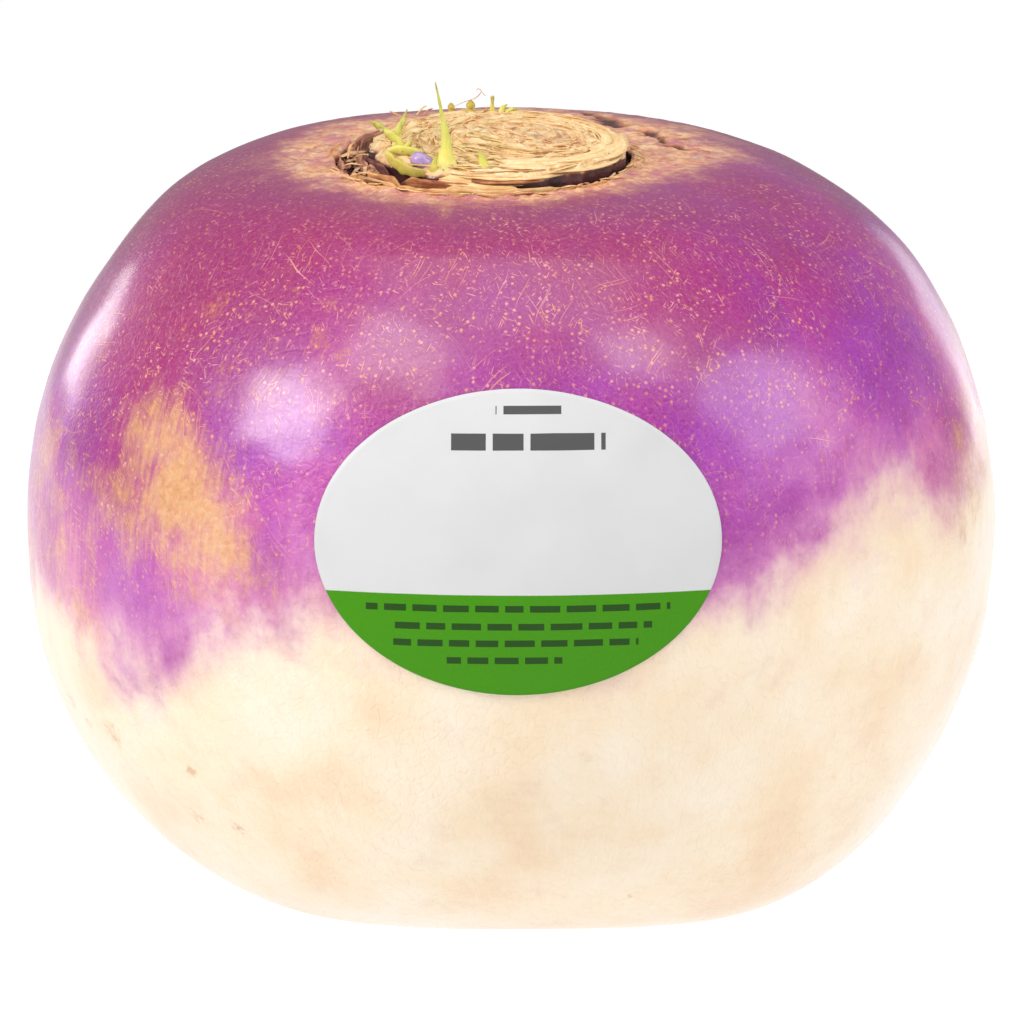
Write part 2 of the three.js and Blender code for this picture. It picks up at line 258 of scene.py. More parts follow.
def strip(b, a0, a1, radius, h0, h1, lean=0.0, t=0.25, ragged=0.25, crumple=0.12, seed=0, tone=0.3, nv=7, curl=0.0, ends=0.35, centre=0.0, green=0.0):
    """An upright papery strip that follows the crown from a0 to a1 degrees; radius, h0 and h1 are numbers or functions of (u, angle)."""
    n = max(10, int(abs(a1 - a0) / 1.6))
    u = np.linspace(0, 1, n); a = np.radians(a0 + (a1 - a0) * u)
    f = lambda x: np.asarray(x(u, a) if callable(x) else np.full(n, float(x)))
    r, lo, hi = f(radius), f(h0), f(h1)
    env = ends + (1 - ends) * np.clip(np.sin(np.pi * (0.03 + 0.94 * u)) * 1.6, 0, 1)
    rag = ragged * (vnoise(v3(a * 5, seed * 3.3, 0.5), seed) * 0.65 + vnoise(v3(a * 19, seed * 1.3, 2.5), seed + 5) * 0.35)
    hi = lo + (hi - lo) * env + rag
    rows = []
    for k in range(nv):
        v = k / (nv - 1)
        rr = r + lean * v + curl * v * v + crumple * vnoise(v3(a * 2.6 + seed, v * 2.6, seed * 2.1), seed + 9)
        h = lo + (hi - lo) * v
        th = t * (1 - 0.7 * v) * (0.3 + 0.7 * np.clip(np.sin(np.pi * u) * 2, 0, 1)) / 2
        rows.append((rr, h, th, v))
    ring = []; vv = []
    for rr, h, th, v in rows: ring.append(crown(centre + (rr + th) * np.cos(a), (rr + th) * np.sin(a), h)); vv.append(v)
    for rr, h, th, v in reversed(rows): ring.append(crown(centre + (rr - th) * np.cos(a), (rr - th) * np.sin(a), h)); vv.append(v)
    V = np.stack(ring, 1)  # n, 2nv, 3
    m = 2 * nv
    first, last = V[0].mean(0), V[-1].mean(0)
    # the grain of the strip follows the arc, so its own coordinates are height, then length
    fib = np.stack([np.tile(np.array(vv) * float(np.mean(hi - lo)), (n, 1)), np.repeat(a[:, None] * 7, m, 1), np.full((n, m), seed * 1.7)], -1)
    # rise runs from 0 at the foot to 1 at the top; the material paints shade at the foot
    b.add(np.vstack([[first], V.reshape(-1, 3), [last]]), ring_faces(n, m, 0, 0), tone=tone, rise=np.concatenate([[0.5], np.tile(np.array(vv), n), [0.5]]), green=green,
          fib=np.vstack([[fib[0].mean(0)], fib.reshape(-1, 3), [fib[-1].mean(0)]]))


def band(b, a0, a1, rin, rout, hin, hout, t=0.22, tone=0.15, seed=0, ragged=0.16, green=0.0, nv=7, centre=0.0, shift=0.0):
    """A flat crescent that lies along the crown from a0 to a1 degrees, from radius rin to rout, its outer edge torn."""
    n = max(12, int(abs(a1 - a0) / 1.3))
    u = np.linspace(0, 1, n); a = np.radians(a0 + (a1 - a0) * u)
    env = 0.12 + 0.88 * np.sin(np.pi * (0.02 + 0.96 * u)) ** 0.55
    rag = ragged * (vnoise(v3(a * 6, seed * 2.1, 1.5), seed) * 0.6 + vnoise(v3(a * 24, seed * 1.9, 3.5), seed + 3) * 0.4)
    top, bot = [], []
    cp = centre + shift
    for k in range(nv):
        v = k / (nv - 1)
        r = rin + ((rout - rin) * env + rag) * v
        h = hin + (hout - hin) * v + 0.10 * vnoise(v3(a * 3.1 + seed, v * 1.3, seed * 0.7), seed + 7) + 0.03 * vnoise(v3(a * 13, v * 3, seed * 1.1), seed + 8)
        th = t * (0.25 + 0.75 * env) * (1 - 0.6 * v * v) / 2
        top.append(crown(cp + r * np.cos(a), r * np.sin(a), h + th)); bot.append(crown(cp + r * np.cos(a), r * np.sin(a), h - th))
    V = np.stack(bot + top[::-1], 1); m = 2 * nv
    vv = np.array([k / (nv - 1) for k in range(nv)] + [1 - k / (nv - 1) for k in range(nv)])
    # the underside gets a low rise, which the material darkens as painted shade
    unshaded_share = np.array([0.12] * nv + [1.0] * nv)
    fib = np.stack([np.tile(vv * (rout - rin), (n, 1)), np.repeat(a[:, None] * 7, m, 1), np.full((n, m), seed * 1.7)], -1)
    b.add(np.vstack([[V[0].mean(0)], V.reshape(-1, 3), [V[-1].mean(0)]]), ring_faces(n, m, 0, 0), tone=tone, green=green, rise=np.concatenate([[0.6], np.tile(unshaded_share, n), [0.6]]),
          fib=np.vstack([[fib[0].mean(0)], fib.reshape(-1, 3), [fib[-1].mean(0)]]))


def fibre(b, pts, w, t, up=None, n=12, sec=6, tone=0.3, green=0.0, seed=0):
    """A flat fibre along points (p, q, h) of the crown, tapering to both ends."""
    P = catmull([np.array(x, float) for x in pts], n)
    C = crown(P[:, 0], P[:, 1], P[:, 2])
    T = np.gradient(C, axis=0); T /= np.linalg.norm(T, axis=1)[:, None] + 1e-9
    upv = np.array([0, -math.sin(math.radians(TILT)), math.cos(math.radians(TILT))]) if up is None else np.asarray(up, float)
    S = np.cross(T, upv); S /= np.linalg.norm(S, axis=1)[:, None] + 1e-9
    N = np.cross(S, T)
    u = np.linspace(0, 1, n); env = 0.15 + 0.85 * np.sin(np.pi * (0.04 + 0.92 * u)) ** 0.6
    a = 2 * np.pi * np.arange(sec) / sec
    V = C[:, None] + np.cos(a)[None, :, None] * (w * env / 2)[:, None, None] * S[:, None] + np.sin(a)[None, :, None] * (t * env / 2)[:, None, None] * N[:, None]
    fib = np.stack([np.repeat(u[:, None] * 1.2, sec, 1), np.tile(np.cos(a) * w * 6, (n, 1)), np.full((n, sec), seed * 2.3)], -1)
    b.add(np.vstack([[C[0]], V.reshape(-1, 3), [C[-1]]]), ring_faces(n, sec, 0, 0), tone=tone, rise=0.7, green=green,
          fib=np.vstack([[fib[0].mean(0)], fib.reshape(-1, 3), [fib[-1].mean(0)]]))


# ================================================================ the root
NA = 384
A = 2 * np.pi * np.arange(NA) / NA
CA, SA = np.cos(A), np.sin(A)
rows = []; attrs = {k: [] for k in ("edge", "cork", "cav", "disc", "gold", "rust", "brown", "scar", "whorl")}
flow = []; arc = []

# where the purple ends: azimuth (0 right, 90 back), height above the floor
BOUND = np.array([(-180, 33), (-165, 32), (-156, 30.2), (-149, 26.2), (-143.6, 24), (-135, 26), (-128, 28.3), (-120.6, 32), (-114, 34.7), (-108, 34), (-90, 32.5), (-69, 32), (-64, 33.7), (-56, 36.8), (-48.4, 38), (-39.6, 39.7), (-27.6, 42), (-16.6, 44.5), (0, 46.5), (18, 45), (40, 40.5), (62, 38.5), (85, 33), (105, 31), (125, 34), (150, 31), (168, 32), (180, 33)], float)
_ba = np.linspace(-180, 180, 721); _bz = np.interp(_ba, BOUND[:, 0], BOUND[:, 1])
_k = np.exp(-(np.arange(-12, 13) / 6.0) ** 2); _k /= _k.sum()
_bz = np.convolve(np.concatenate([_bz[-13:-1], _bz, _bz[1:13]]), _k, "valid")
def bound_z(a): return np.interp((np.degrees(a) + 180) % 360 - 180, _ba, _bz)


def blobs(P, table):
    """Soft spots: azimuth, height, radius mm, strength."""
    s = np.zeros(P.shape[:-1])
    for az, z, r, k in table:
        c = math.radians(az)
        th = np.interp(-z, -Z_OF, TH_OF); C = skin(th, c)
        d2 = ((P - C) ** 2).sum(-1) / (r * r)
        s = np.maximum(s, k * np.exp(-d2))
    return s


TH_OF = np.radians(np.linspace(5, 165, 400)); Z_OF = skin(TH_OF, np.full(400, 0.0))[:, 2]
GOLD = [(-138, 49, 6.0, 0.75), (-132, 44.5, 6.5, 0.95), (-127, 41.0, 6.5, 0.90), (-121, 38.0, 4.4, 0.45), (-141, 41, 7.5, 0.5), (-152, 38, 8.0, 0.5), (-162, 44, 8.0, 0.45), (-150, 30, 7.0, 0.5), (-168, 34, 7.0, 0.45), (-12, 46, 7.0, 0.5), (-22, 42, 6.0, 0.5), (-4, 52, 6.0, 0.45), (-46, 60, 3.5, 0.25), (60, 47, 5, 0.7), (70, 42, 4, 0.6), (150, 44, 4.5, 0.6), (20, 55, 3.5, 0.4)]
RUST = [(-117, 61, 1.9, 0.8), (-117.3, 64, 1.5, 0.7), (-113.3, 60, 1.6, 0.7), (-136.7, 62.2, 2.2, 0.75), (-130, 57, 1.8, 0.65), (-130, 55, 1.6, 0.6), (-136, 59, 1.5, 0.5), (-124, 64.5, 1.3, 0.5), (-62, 62, 1.4, 0.4), (40, 60, 2.2, 0.7), (95, 57, 2, 0.6), (140, 62, 2.4, 0.6), (170, 55, 2, 0.5), (75, 64, 1.6, 0.5)]
BROWN = [(-160.9, 20, 2.0, 0.7), (-157, 18.5, 1.5, 0.6), (-150, 18, 2.3, 0.7), (-143, 16.5, 3.5, 0.35), (-135, 16, 0.9, 1.0), (-139, 11.2, 1.8, 0.6), (-131.7, 10.6, 1.3, 0.7), (-146, 13.5, 1.6, 0.45), (-102, 5.5, 0.6, 0.8), (-72, 4.8, 0.55, 0.8), (-60, 17, 3.5, 0.18), (30, 14, 2.2, 0.6), (48, 20, 1.6, 0.5), (110, 12, 2.6, 0.6), (128, 21, 1.4, 0.6), (165, 9, 1.8, 0.6), (-20, 9, 1.5, 0.5)]


def push(P, **m):
    rows.append(P)
    for k in attrs: attrs[k].append(np.broadcast_to(np.asarray(m.get(k, 0.0), float), (NA,)).copy())


SWIRL = 5.5  # the growth rings are crowded towards the right
disc_point = lambda rho: (DISC_DX + SWIRL * (1 - rho / DISC_R) + rho * CA, rho * SA)
AXIS = np.array([0, -math.sin(math.radians(TILT)), math.cos(math.radians(TILT))])


def disc_relief(p, q, rho):
    """Leaf scars on the cut crown: rings whose outer lips stand proud and drop to the next, crossed by finer fibres."""
    ang = np.arctan2(SA, CA)
    wob = 1.1 * vnoise(v3(np.cos(ang) * 2.2, np.sin(ang) * 2.2, rho * 0.2), 31) + 0.45 * vnoise(v3(p * 0.7, q * 0.7, 2.0), 32)
    t = (rho + wob) / 1.22
    f = t - np.floor(t); lev = np.floor(t)
    amp = 0.13 + 0.26 * np.clip(vnoise(v3(np.cos(ang) * 1.3 + lev * 3.1, np.sin(ang) * 1.3, lev * 1.7), 36) + 0.25, 0, 1)
    saw = amp * (smooth(f, 0.0, 0.72) - smooth(f, 0.86, 1.0) - 0.4) * smooth(rho, 1.5, 4.0)
    fine = vnoise(v3((rho + wob) * 2.6, np.cos(ang) * 3.3, np.sin(ang) * 3.3), 34)
    heart = np.exp(-((p - 6.6) / 4.6) ** 2 - (q / 4.0) ** 2)
    pits = np.clip(-fbm(v3(p * 1.5, q * 1.5, 5.0), 2, 35) * 2.2 - 0.35, 0, 1)
    lump = vnoise(v3(p * 0.9, q * 0.9, 11.0), 37)
    return saw + 0.07 * fine + heart * (0.12 * lump - 0.50 * pits) + 0.12 * lump - 0.12 * pits


def back_rise(q): return 0.38 * smooth(q, 3.0, 11.0)
def groove_gap(a): return RIM_R - disc_edge(a)


# the disc
for rho in list(np.arange(0.2, 11.3, 0.2)) + [11.4, 11.55, 11.7, 11.82, 11.9]:
    p, q = disc_point(rho)
    rag = 0.35 * vnoise(v3(CA * 6, SA * 6, 1.0), 41) + 0.2 * vnoise(v3(CA * 19, SA * 19, 2.0), 42)
    k = smooth(rho, 9.5, 11.9)
    p2 = p + rag * CA * k; q2 = q + rag * SA * k
    h = DISC_H + 0.25 * (1 - (rho / DISC_R) ** 2) + disc_relief(p, q, np.full(NA, rho)) * (0.5 + 0.5 * smooth(rho, 1, 4)) - 0.55 * smooth(rho, 11.3, 11.9) + back_rise(q)
    # a little painted shade at the disc's outer edge, where it drops into the groove
    push(crown(p2, q2, h), disc=1.0, cav=0.10 * smooth(rho, 11.2, 11.9), whorl=rho)
edge_p, edge_q = disc_point(DISC_R)
rag = 0.35 * vnoise(v3(CA * 6, SA * 6, 1.0), 41) + 0.2 * vnoise(v3(CA * 19, SA * 19, 2.0), 42)
edge_p = edge_p + rag * CA; edge_q = edge_q + rag * SA
lip = 0.28 * vnoise(v3(CA * 5, SA * 5, 7.0), 43) + 0.22 * vnoise(v3(CA * 17, SA * 17, 9.0), 44)
rim_p, rim_q = (RIM_R + lip) * CA, (RIM_R + lip) * SA
depth = GROOVE_D * np.minimum(1, groove_gap(A) / 2) * (1 + 0.15 * vnoise(v3(CA * 4, SA * 4, 3.0), 45))
top_in = DISC_H - 0.55
for s in (0.03, 0.07, 0.12, 0.2, 0.3, 0.42, 0.55, 0.68, 0.8, 0.88, 0.94, 0.98):
    pr = (0.35 * smooth(s, 0, 0.07) + 0.65 * smooth(s, 0.05, 0.24)) * (1 - smooth(s, 0.78, 1.0))
    side = smooth(s, 0.3, 1.0)
    h = ((top_in + back_rise(edge_q)) * (1 - side)) * (1 - smooth(s, 0.0, 0.2)) - depth * pr + 0.16 * vnoise(v3(CA * 22, SA * 22, s * 5), 46) * math.sin(math.pi * s)
    P = crown(edge_p + (rim_p - edge_p) * s, edge_q + (rim_q - edge_q) * s, h)
    # painted shade across the groove, fading out towards the rim
    push(P, cav=float((0.35 + 0.65 * smooth(s, 0.0, 0.07)) * (1 - smooth(s, 0.84, 1.0))), cork=1.0, disc=float(1 - smooth(s, 0, 0.1)))


def cork_limit(a):
    """How far from the crown's axis the corky skin reaches."""
    d = np.degrees(a) % 360
    return np.interp(d, [0, 15, 35, 60, 90, 120, 150, 175, 195, 215, 240, 270, 300, 330, 345, 360], [22.5, 24.5, 25, 25.0, 24.0, 23.0, 21.5, 20.4, 19.6, 18.6, 17.6, 17.0, 17.2, 18.6, 20.4, 22.5])


def cracks(p, q):
    """Dry cracks in the corky skin on the right of the crown."""
    s = np.zeros(np.shape(p))
    for cp, cq, ang, L, W, d in ((15.8, 11.0, 118, 1.9, 0.62, 1.0), (18.4, 5.5, 143, 1.7, 0.50, 1.0), (16.9, 8.2, 120, 1.2, 0.40, 0.8), (20.3, 4.4, 170, 1.0, 0.36, 0.8), (18.6, 9.4, 60, 0.9, 0.34, 0.6), (9.6, 20.4, 122, 3.0, 0.55, 0.8), (11.9, 16.2, 112, 2.6, 0.95, 1.0), (-16.3, 5.2, 70, 1.3, 0.22, 0.5), (-3.0, 16.4, 10, 1.6, 0.24, 0.5)):
        c, n = math.cos(math.radians(ang)), math.sin(math.radians(ang))
        x = (p - cp) * c + (q - cq) * n; y = -(p - cp) * n + (q - cq) * c + 0.25 * np.sin(x * 2.3)
        s = np.maximum(s, d * np.exp(-(x / L) ** 4 - (y / W) ** 2))
    return s


ths = list(theta_at(np.concatenate([np.arange(RIM_R + 0.12, 18, 0.22), np.arange(18.1, 24.0, 0.34)])))
t = ths[-1]
while t < math.radians(166):
    t += (0.8 if t < math.radians(150) else 0.6) / float(R(t))
    ths.append(t)
for th in ths:
    r = float(R(th) * math.sin(th)); deg = math.degrees(th)
    P = skin(np.full(NA, th), A)
    up = 1.0 if deg < 60 else 0.0
    near = (1 - smooth(r, RIM_R, RIM_R + 1.1)) * up
    p, q = r * CA, r * SA
    cork = (1 - smooth(r / cork_limit(A), 0.72, 1.25)) * up
    crk = cracks(p, q) * (r < 27) * up
    d = near * (0.10 + 0.16 * vnoise(v3(CA * 24, SA * 24, r), 51)) * np.ones(NA)
    d = d + (cork * (0.10 * vnoise(v3(p * 1.6, q * 1.6, 0.0), 52) + 0.06 * vnoise(v3(p * 3.4, q * 3.4, 4.0), 53)) if r < 30 and up else 0)
    d = d - crk * 0.55 * smooth(r, RIM_R, RIM_R + 1)
    N = P - v3(0, 0, -FLOOR); N /= np.linalg.norm(N, axis=-1, keepdims=True)
    if r < 30 and up: N = N * (1 - near) + AXIS * near
    P = P + N * d[:, None]
    if near > 0:  # carry the torn rim a little way into the skin
        P[:, 0] += lip * CA * near; P[:, 1] += lip * SA * near
    e = P[:, 2] - bound_z(A)
    # the cracks are darkened, partly their own dark colour and partly painted shade
    push(P, edge=np.clip(e, -30, 60), cork=cork, cav=np.clip(crk, 0, 1) * 0.8,
         gold=blobs(P, GOLD), rust=blobs(P, RUST), brown=blobs(P, BROWN),
         scar=float(smooth(deg, 157, 166)))
# the underside, with the stump of the thin tap root cut flush
lastP = rows[-1]; c0 = np.array([BASE_DX, 0, 0.0])
for k in range(1, 13):
    s = 1 - k / 13.0
    P = c0 + (lastP - c0) * s
    rr = np.hypot(P[:, 0] - BASE_DX, P[:, 1])
    stump = np.maximum(0, 0.35 * np.exp(-((rr - 3.1) / 0.5) ** 2) + 0.25 * np.exp(-(rr / 1.2) ** 2))
    hollow = 0.9 * np.exp(-(rr / 4.2) ** 4)
    P[:, 2] = np.maximum(0.0, P[:, 2] * s + hollow - stump + 0.04 * vnoise(v3(P[:, 0] * 1.5, P[:, 1] * 1.5, 0.0), 61) * (rr < 7))
    push(P, edge=-30.0, scar=1.0 * np.ones(NA), brown=0.8 * np.exp(-((rr - 3.4) / 0.9) ** 2) + 0.35 * np.exp(-(rr / 2.5) ** 2))

NR = len(rows)
G = np.stack(rows)  # NR, NA, 3
top = crown(DISC_DX + SWIRL, 0.0, DISC_H + 0.2).reshape(3)
V = np.vstack([[top], G.reshape(-1, 3), [[BASE_DX, 0, 0.55]]])
# arc length from the crown down each meridian gives the grain of the skin its coordinates
seg = np.linalg.norm(np.diff(G, axis=0), axis=-1); S = np.vstack([np.zeros(NA), np.cumsum(seg, 0)]).mean(1)
S = S - S[np.argmin(np.abs(np.array([np.hypot(*(g[0, :2] - [CROWN_DX, 0])) for g in G]) - RIM_R))]
FL = np.stack([np.tile(46 * CA, (NR, 1)), np.tile(46 * SA, (NR, 1)), np.repeat(S[:, None], NA, 1)], -1)
PL = np.stack([(S[:, None] + 15) * CA[None], (S[:, None] + 15) * SA[None], np.zeros((NR, NA))], -1)
at = {k: np.concatenate([[v[0][0]], np.concatenate(v), [v[-1].mean()]]) for k, v in attrs.items()}
at["flow"] = np.vstack([[FL[0].mean(0)], FL.reshape(-1, 3), [FL[-1].mean(0)]])
at["plan"] = np.vstack([[PL[0].mean(0)], PL.reshape(-1, 3), [PL[-1].mean(0)]])
root = new_object("turnip_body", V, ring_faces(NR, NA, 0, 0), at)

# ================================================================ the sticker
LX, LZ, LW, LH = 0.53, 3.9, 18.0, 13.4


def front(x, z):
    """The skin's angles at the front point with this x and this height over the root's middle."""
    x = np.asarray(x, float); z = np.asarray(z, float)
    th = np.pi / 2 - z / 46; a = -np.pi / 2 + x / 46
    for _ in range(14):
        v = skin(th, a)
        a = a + (x - v[..., 0]) / 46 / np.maximum(0.3, np.sin(th)); th = th - (z - FLOOR - v[..., 2]) / 46
    return th, a


def lifted(th, a, h):
    e = 2e-3
    p = skin(th, a); n = np.cross(skin(th + e, a) - p, skin(th, a + e) - p)
    n /= np.linalg.norm(n, axis=-1, keepdims=True); n = np.where(n[..., 1:2] > 0, -n, n)
    return p + n * np.asarray(h)[..., None]


NL = 180
la = 2 * np.pi * np.arange(NL) / NL
shares = np.concatenate([np.linspace(0.03, 0.97, 34), [0.985, 0.995, 1.0]])
LP, LU = [], []
lx = LX + np.outer(shares, LW * np.cos(la)); lz = LZ + np.outer(shares, LH * np.sin(la))
lth, lang = front(lx, lz)
crease = 0.018 * vnoise(v3(lx * 0.35, lz * 0.35, 0.0), 71) + 0.010 * vnoise(v3(lx * 1.1, lz * 1.1, 3.0), 72)
lift0 = 0.17 + crease + 0.05 * smooth(shares, 0.93, 1.0)[:, None]
outer = lifted(lth, lang, lift0 + 0.14 - 0.07 * smooth(shares, 0.985, 1.0)[:, None])
inner = lifted(lth, lang, lift0)
cth, cang = front(np.array([LX]), np.array([LZ]))
LV = np.vstack([lifted(cth, cang, np.array([0.31])), outer.reshape(-1, 3), inner[::-1].reshape(-1, 3), lifted(cth, cang, np.array([0.17]))])
uvw = np.stack([lx - LX, lz - LZ, np.zeros_like(lx)], -1)
LUV = np.vstack([[[0, 0, 0]], uvw.reshape(-1, 3), uvw[::-1].reshape(-1, 3), [[0, 0, 0]]])
# counter-clockwise seen from the front, so that the faces look outwards
label = new_object("sticker", LV, ring_faces(2 * len(shares), NL, 0, 0), {"plane": LUV})

# ================================================================ what stands in the crown
FRONT = [  # name of the CAD node, then the strips that stand for it: a0, a1, share of the groove, foot, top, lean, thickness, tone, curl
    ("leaf_base_front", [(236, 312, 0.74, -1.5, 0.42, 0.10, 0.34, 0.16, 0.12), (250, 290, 0.52, -1.6, 0.62, 0.20, 0.30, 0.18, 0.05), (232, 262, 0.92, -1.1, 0.25, 0.05, 0.28, 0.40, 0.15)]),
    ("leaf_base_front_inner", [(228, 272, 0.18, -1.4, 0.62, 0.05, 0.26, 0.72, 0.0)]),
    ("leaf_base_front_left", [(203, 240, 0.86, -1.5, 0.34, 0.05, 0.32, 0.30, 0.15), (208, 236, 0.58, -1.7, 0.55, 0.05, 0.28, 0.55, -0.10)]),
    ("leaf_base_left_outer", [(168, 202, 0.88, -1.6, 0.36, -0.05, 0.34, 0.42, -0.15), (176, 196, 0.68, -1.9, 0.20, 0.10, 0.28, 0.80, 0.0)]),
    ("leaf_base_left_inner", [(160, 214, 0.36, -1.8, 0.70, 0.15, 0.36, 0.40, -0.2), (182, 226, 0.14, -1.5, 0.95, 0.20, 0.30, 0.75, 0.10), (164, 184, 0.56, -1.8, 0.60, -0.30, 0.30, 0.20, 0.2)]),
    ("leaf_base_back_left", [(124, 162, 0.72, -1.5, 0.62, -0.10, 0.34, 0.50, 0.1), (134, 168, 0.42, -1.8, 0.85, -0.15, 0.30, 0.38, 0.1)]),
    ("leaf_base_back", [(88, 122, 0.50, -1.5, 0.80, 0.0, 0.32, 0.35, 0.1), (70, 98, 0.70, -1.2, 0.35, 0.0, 0.28, 0.40, 0.1)]),
]
dry = []
sd = 100
for name, strips in FRONT:
    b = Build()
    for a0, a1, share, foot, topz, lean, th, tone, curl in strips:
        sd += 1
        rad = (lambda s: lambda u, a: disc_edge(a) + 0.28 + (RIM_R - disc_edge(a) - 0.42) * s)(share)
        deep = (lambda f: lambda u, a: np.maximum(f, 0.15 - GROOVE_D * 0.9 * np.minimum(1, groove_gap(a) / 2)))(foot)
        strip(b, a0, a1, rad, deep, topz, lean, th, 0.22, 0.14, sd, tone, curl=curl)
    o = b.make(name + "_dry"); dry.append((o, [name], "dry_leaf_base" if "front" in name else "dry_husk"))

# loose papery flakes along the rim, and the jumble of old husks on the left
b = Build()
RIMF = [(222, 262, 14.2, -0.5, 0.12, 0.25), (254, 300, 14.25, -0.5, 0.10, 0.30), (292, 330, 14.2, -0.6, 0.12, 0.25), (198, 228, 14.3, -0.5, 0.14, 0.2), (322, 352, 14.25, -0.5, 0.14, 0.3), (30, 70, 14.3, -0.5, 0.16, 0.2), (100, 140, 14.3, -0.5, 0.2, 0.2), (142, 176, 14.4, -0.5, 0.2, 0.2), (344, 376, 14.6, -0.4, 0.12, 0.4)]
for i, (a0, a1, r, lo, hi, lean) in enumerate(RIMF):
    strip(b, a0, a1, (lambda r, i: lambda u, a: r + 0.25 * vnoise(v3(np.cos(a) * 4, np.sin(a) * 4, i * 3.0), 80 + i))(r, i), lo, hi, lean, 0.2, 0.16, 0.1, 200 + i, 0.15 + 0.3 * rng.random(), ends=0.2)
for i in range(46):  # short torn slivers round the rim, most of them lying flat
    a = rng.uniform(185, 395); r = 14.15 + 0.9 * rng.random() ** 1.6; L = rng.uniform(0.6, 2.4); w = rng.normal(0, 0.22)
    pts = [((r + w * (k - 1) + 0.08 * rng.normal()) * math.cos(math.radians(a) + (k - 1) * L / 2 / r), (r + w * (k - 1)) * math.sin(math.radians(a) + (k - 1) * L / 2 / r), 0.10 + 0.16 * rng.random()) for k in range(3)]
    fibre(b, pts, rng.uniform(0.14, 0.36), rng.uniform(0.10, 0.18), n=9, tone=rng.uniform(0.05, 0.5), seed=950 + i)
rim_flakes = b.make("rim_flakes")
b = Build()
for i in range(34):  # broken husks lying at odd angles in the left of the groove
    a = math.radians(rng.uniform(160, 226)); r = float(disc_edge(a)) + 0.5 + rng.random() * (float(groove_gap(np.array(a))) - 0.9)
    h = rng.uniform(-1.2, 0.35); L = rng.uniform(1.4, 3.4); d = a + math.pi / 2 + rng.normal(0, 0.6); rise = rng.normal(0, 0.3)
    c, s = math.cos(d), math.sin(d); p0, q0 = r * math.cos(a), r * math.sin(a)
    pts = [(p0 - c * L / 2, q0 - s * L / 2, h - rise / 2), (p0 + rng.normal(0, 0.15), q0 + rng.normal(0, 0.15), h + 0.15), (p0 + c * L / 2, q0 + s * L / 2, h + rise / 2)]
    fibre(b, pts, rng.uniform(0.45, 1.15), rng.uniform(0.07, 0.13), up=(rng.normal(0, 0.4), rng.normal(-0.4, 0.4), 1.0), tone=rng.uniform(0.0, 0.75) ** 1.3, seed=i)
husk_jumble = b.make("husk_jumble")

# the layered leaf bases round the disc's edge: crescents that overlap like shingles
b = Build()
SHELVES = [(222, 292, 11.3, 12.4, 1.00, 0.62, 0.28, 0.22), (238, 284, 11.6, 12.9, 0.66, 0.36, 0.24, 0.14), (246, 304, 10.9, 12.45, 1.22, 0.92, 0.26, 0.10), (282, 356, 10.5, 12.25, 1.42, 1.16, 0.26, 0.06), (236, 300, 10.6, 12.05, 1.36, 1.12, 0.24, 0.14), (308, 384, 10.2, 11.95, 1.62, 1.46, 0.26, 0.10), (268, 322, 9.9, 11.3, 1.66, 1.50, 0.22, 0.04), (258, 290, 12.0, 12.75, 0.78, 0.62, 0.24, 0.70), (341, 402, 10.6, 12.1, 1.50, 1.30, 0.24, 0.16), (292, 372, 9.5, 10.7, 1.74, 1.64, 0.20, 0.02),
           (196, 256, 10.9, 12.0, 1.22, 0.98, 0.24, 0.82), (204, 250, 10.4, 11.4, 1.46, 1.30, 0.22, 0.30), (176, 226, 10.6, 11.8, 1.40, 1.14, 0.24, 0.34), (384, 430, 10.4, 11.8, 1.52, 1.34, 0.24, 0.20), (424, 474, 10.4, 11.7, 1.56, 1.34, 0.24, 0.25), (466, 512, 10.4, 11.7, 1.56, 1.30, 0.24, 0.3), (500, 548, 10.4, 11.7, 1.52, 1.26, 0.24, 0.34), (330, 400, 8.9, 9.9, 1.78, 1.72, 0.18, 0.05), (240, 296, 8.9, 9.9, 1.76, 1.68, 0.18, 0.06)]
for i, (a0, a1, rin, rout, hin, hout, t, tone) in enumerate(SHELVES):
    lift = float(back_rise(rin * math.sin(math.radians((a0 + a1) / 2)))) * 0.9
    band(b, a0, a1, rin, rout, hin + lift, hout + lift, t, tone, 300 + i, centre=DISC_DX, shift=SWIRL * max(0.0, 1 - (rin + rout) / 2 / DISC_R) * 0.6)
disc_scales = b.make("disc_scales")

# thin arcs of fibre over the cut face
b = Build()
for i in range(250):
    rho = 11.6 * math.sqrt(rng.uniform(0.03, 1.0)); a0 = rng.uniform(0, 360)
    L = rng.uniform(10, 52) * (1.0 if rho > 4 else 1.3); drift = rng.normal(0, 0.55)
    mid_a = (a0 + L / 2) % 360
    left = 1.0 if 150 < mid_a < 262 and rho > 5.0 else 0.0
    lift = 0.03 + 0.08 * rng.random() + (0.22 * rng.random() if left else 0)
    wav = (0.40 if left else 0.24) * rng.random(); ph = rng.uniform(0, 6.28)
    pts = []
    for k in range(6):
        u = k / 5; a = math.radians(a0 + L * u); rr = max(0.3, rho + drift * (u - 0.5) * 2 + wav * math.sin(4.5 * a + ph))
        dome = DISC_H + 0.25 * (1 - (rr / DISC_R) ** 2) - 0.1 * (rr > 11)
        dome += float(back_rise(rr * math.sin(a)))
        pts.append((DISC_DX + SWIRL * (1 - rr / DISC_R) + rr * math.cos(a), rr * math.sin(a), dome + lift * math.sin(math.pi * (0.1 + 0.8 * u))))
    w = rng.uniform(0.09, 0.26) * (1.5 if rho > 7 else 1.0)
    fibre(b, pts, w, rng.uniform(0.09, 0.16), up=None, n=16, tone=float(np.clip(rng.normal(0.16, 0.12) + (0.30 if rng.random() < 0.10 else 0), 0, 1)), green=0.5 * left * rng.random() + (0.10 if rng.random() < 0.08 else 0), seed=i)
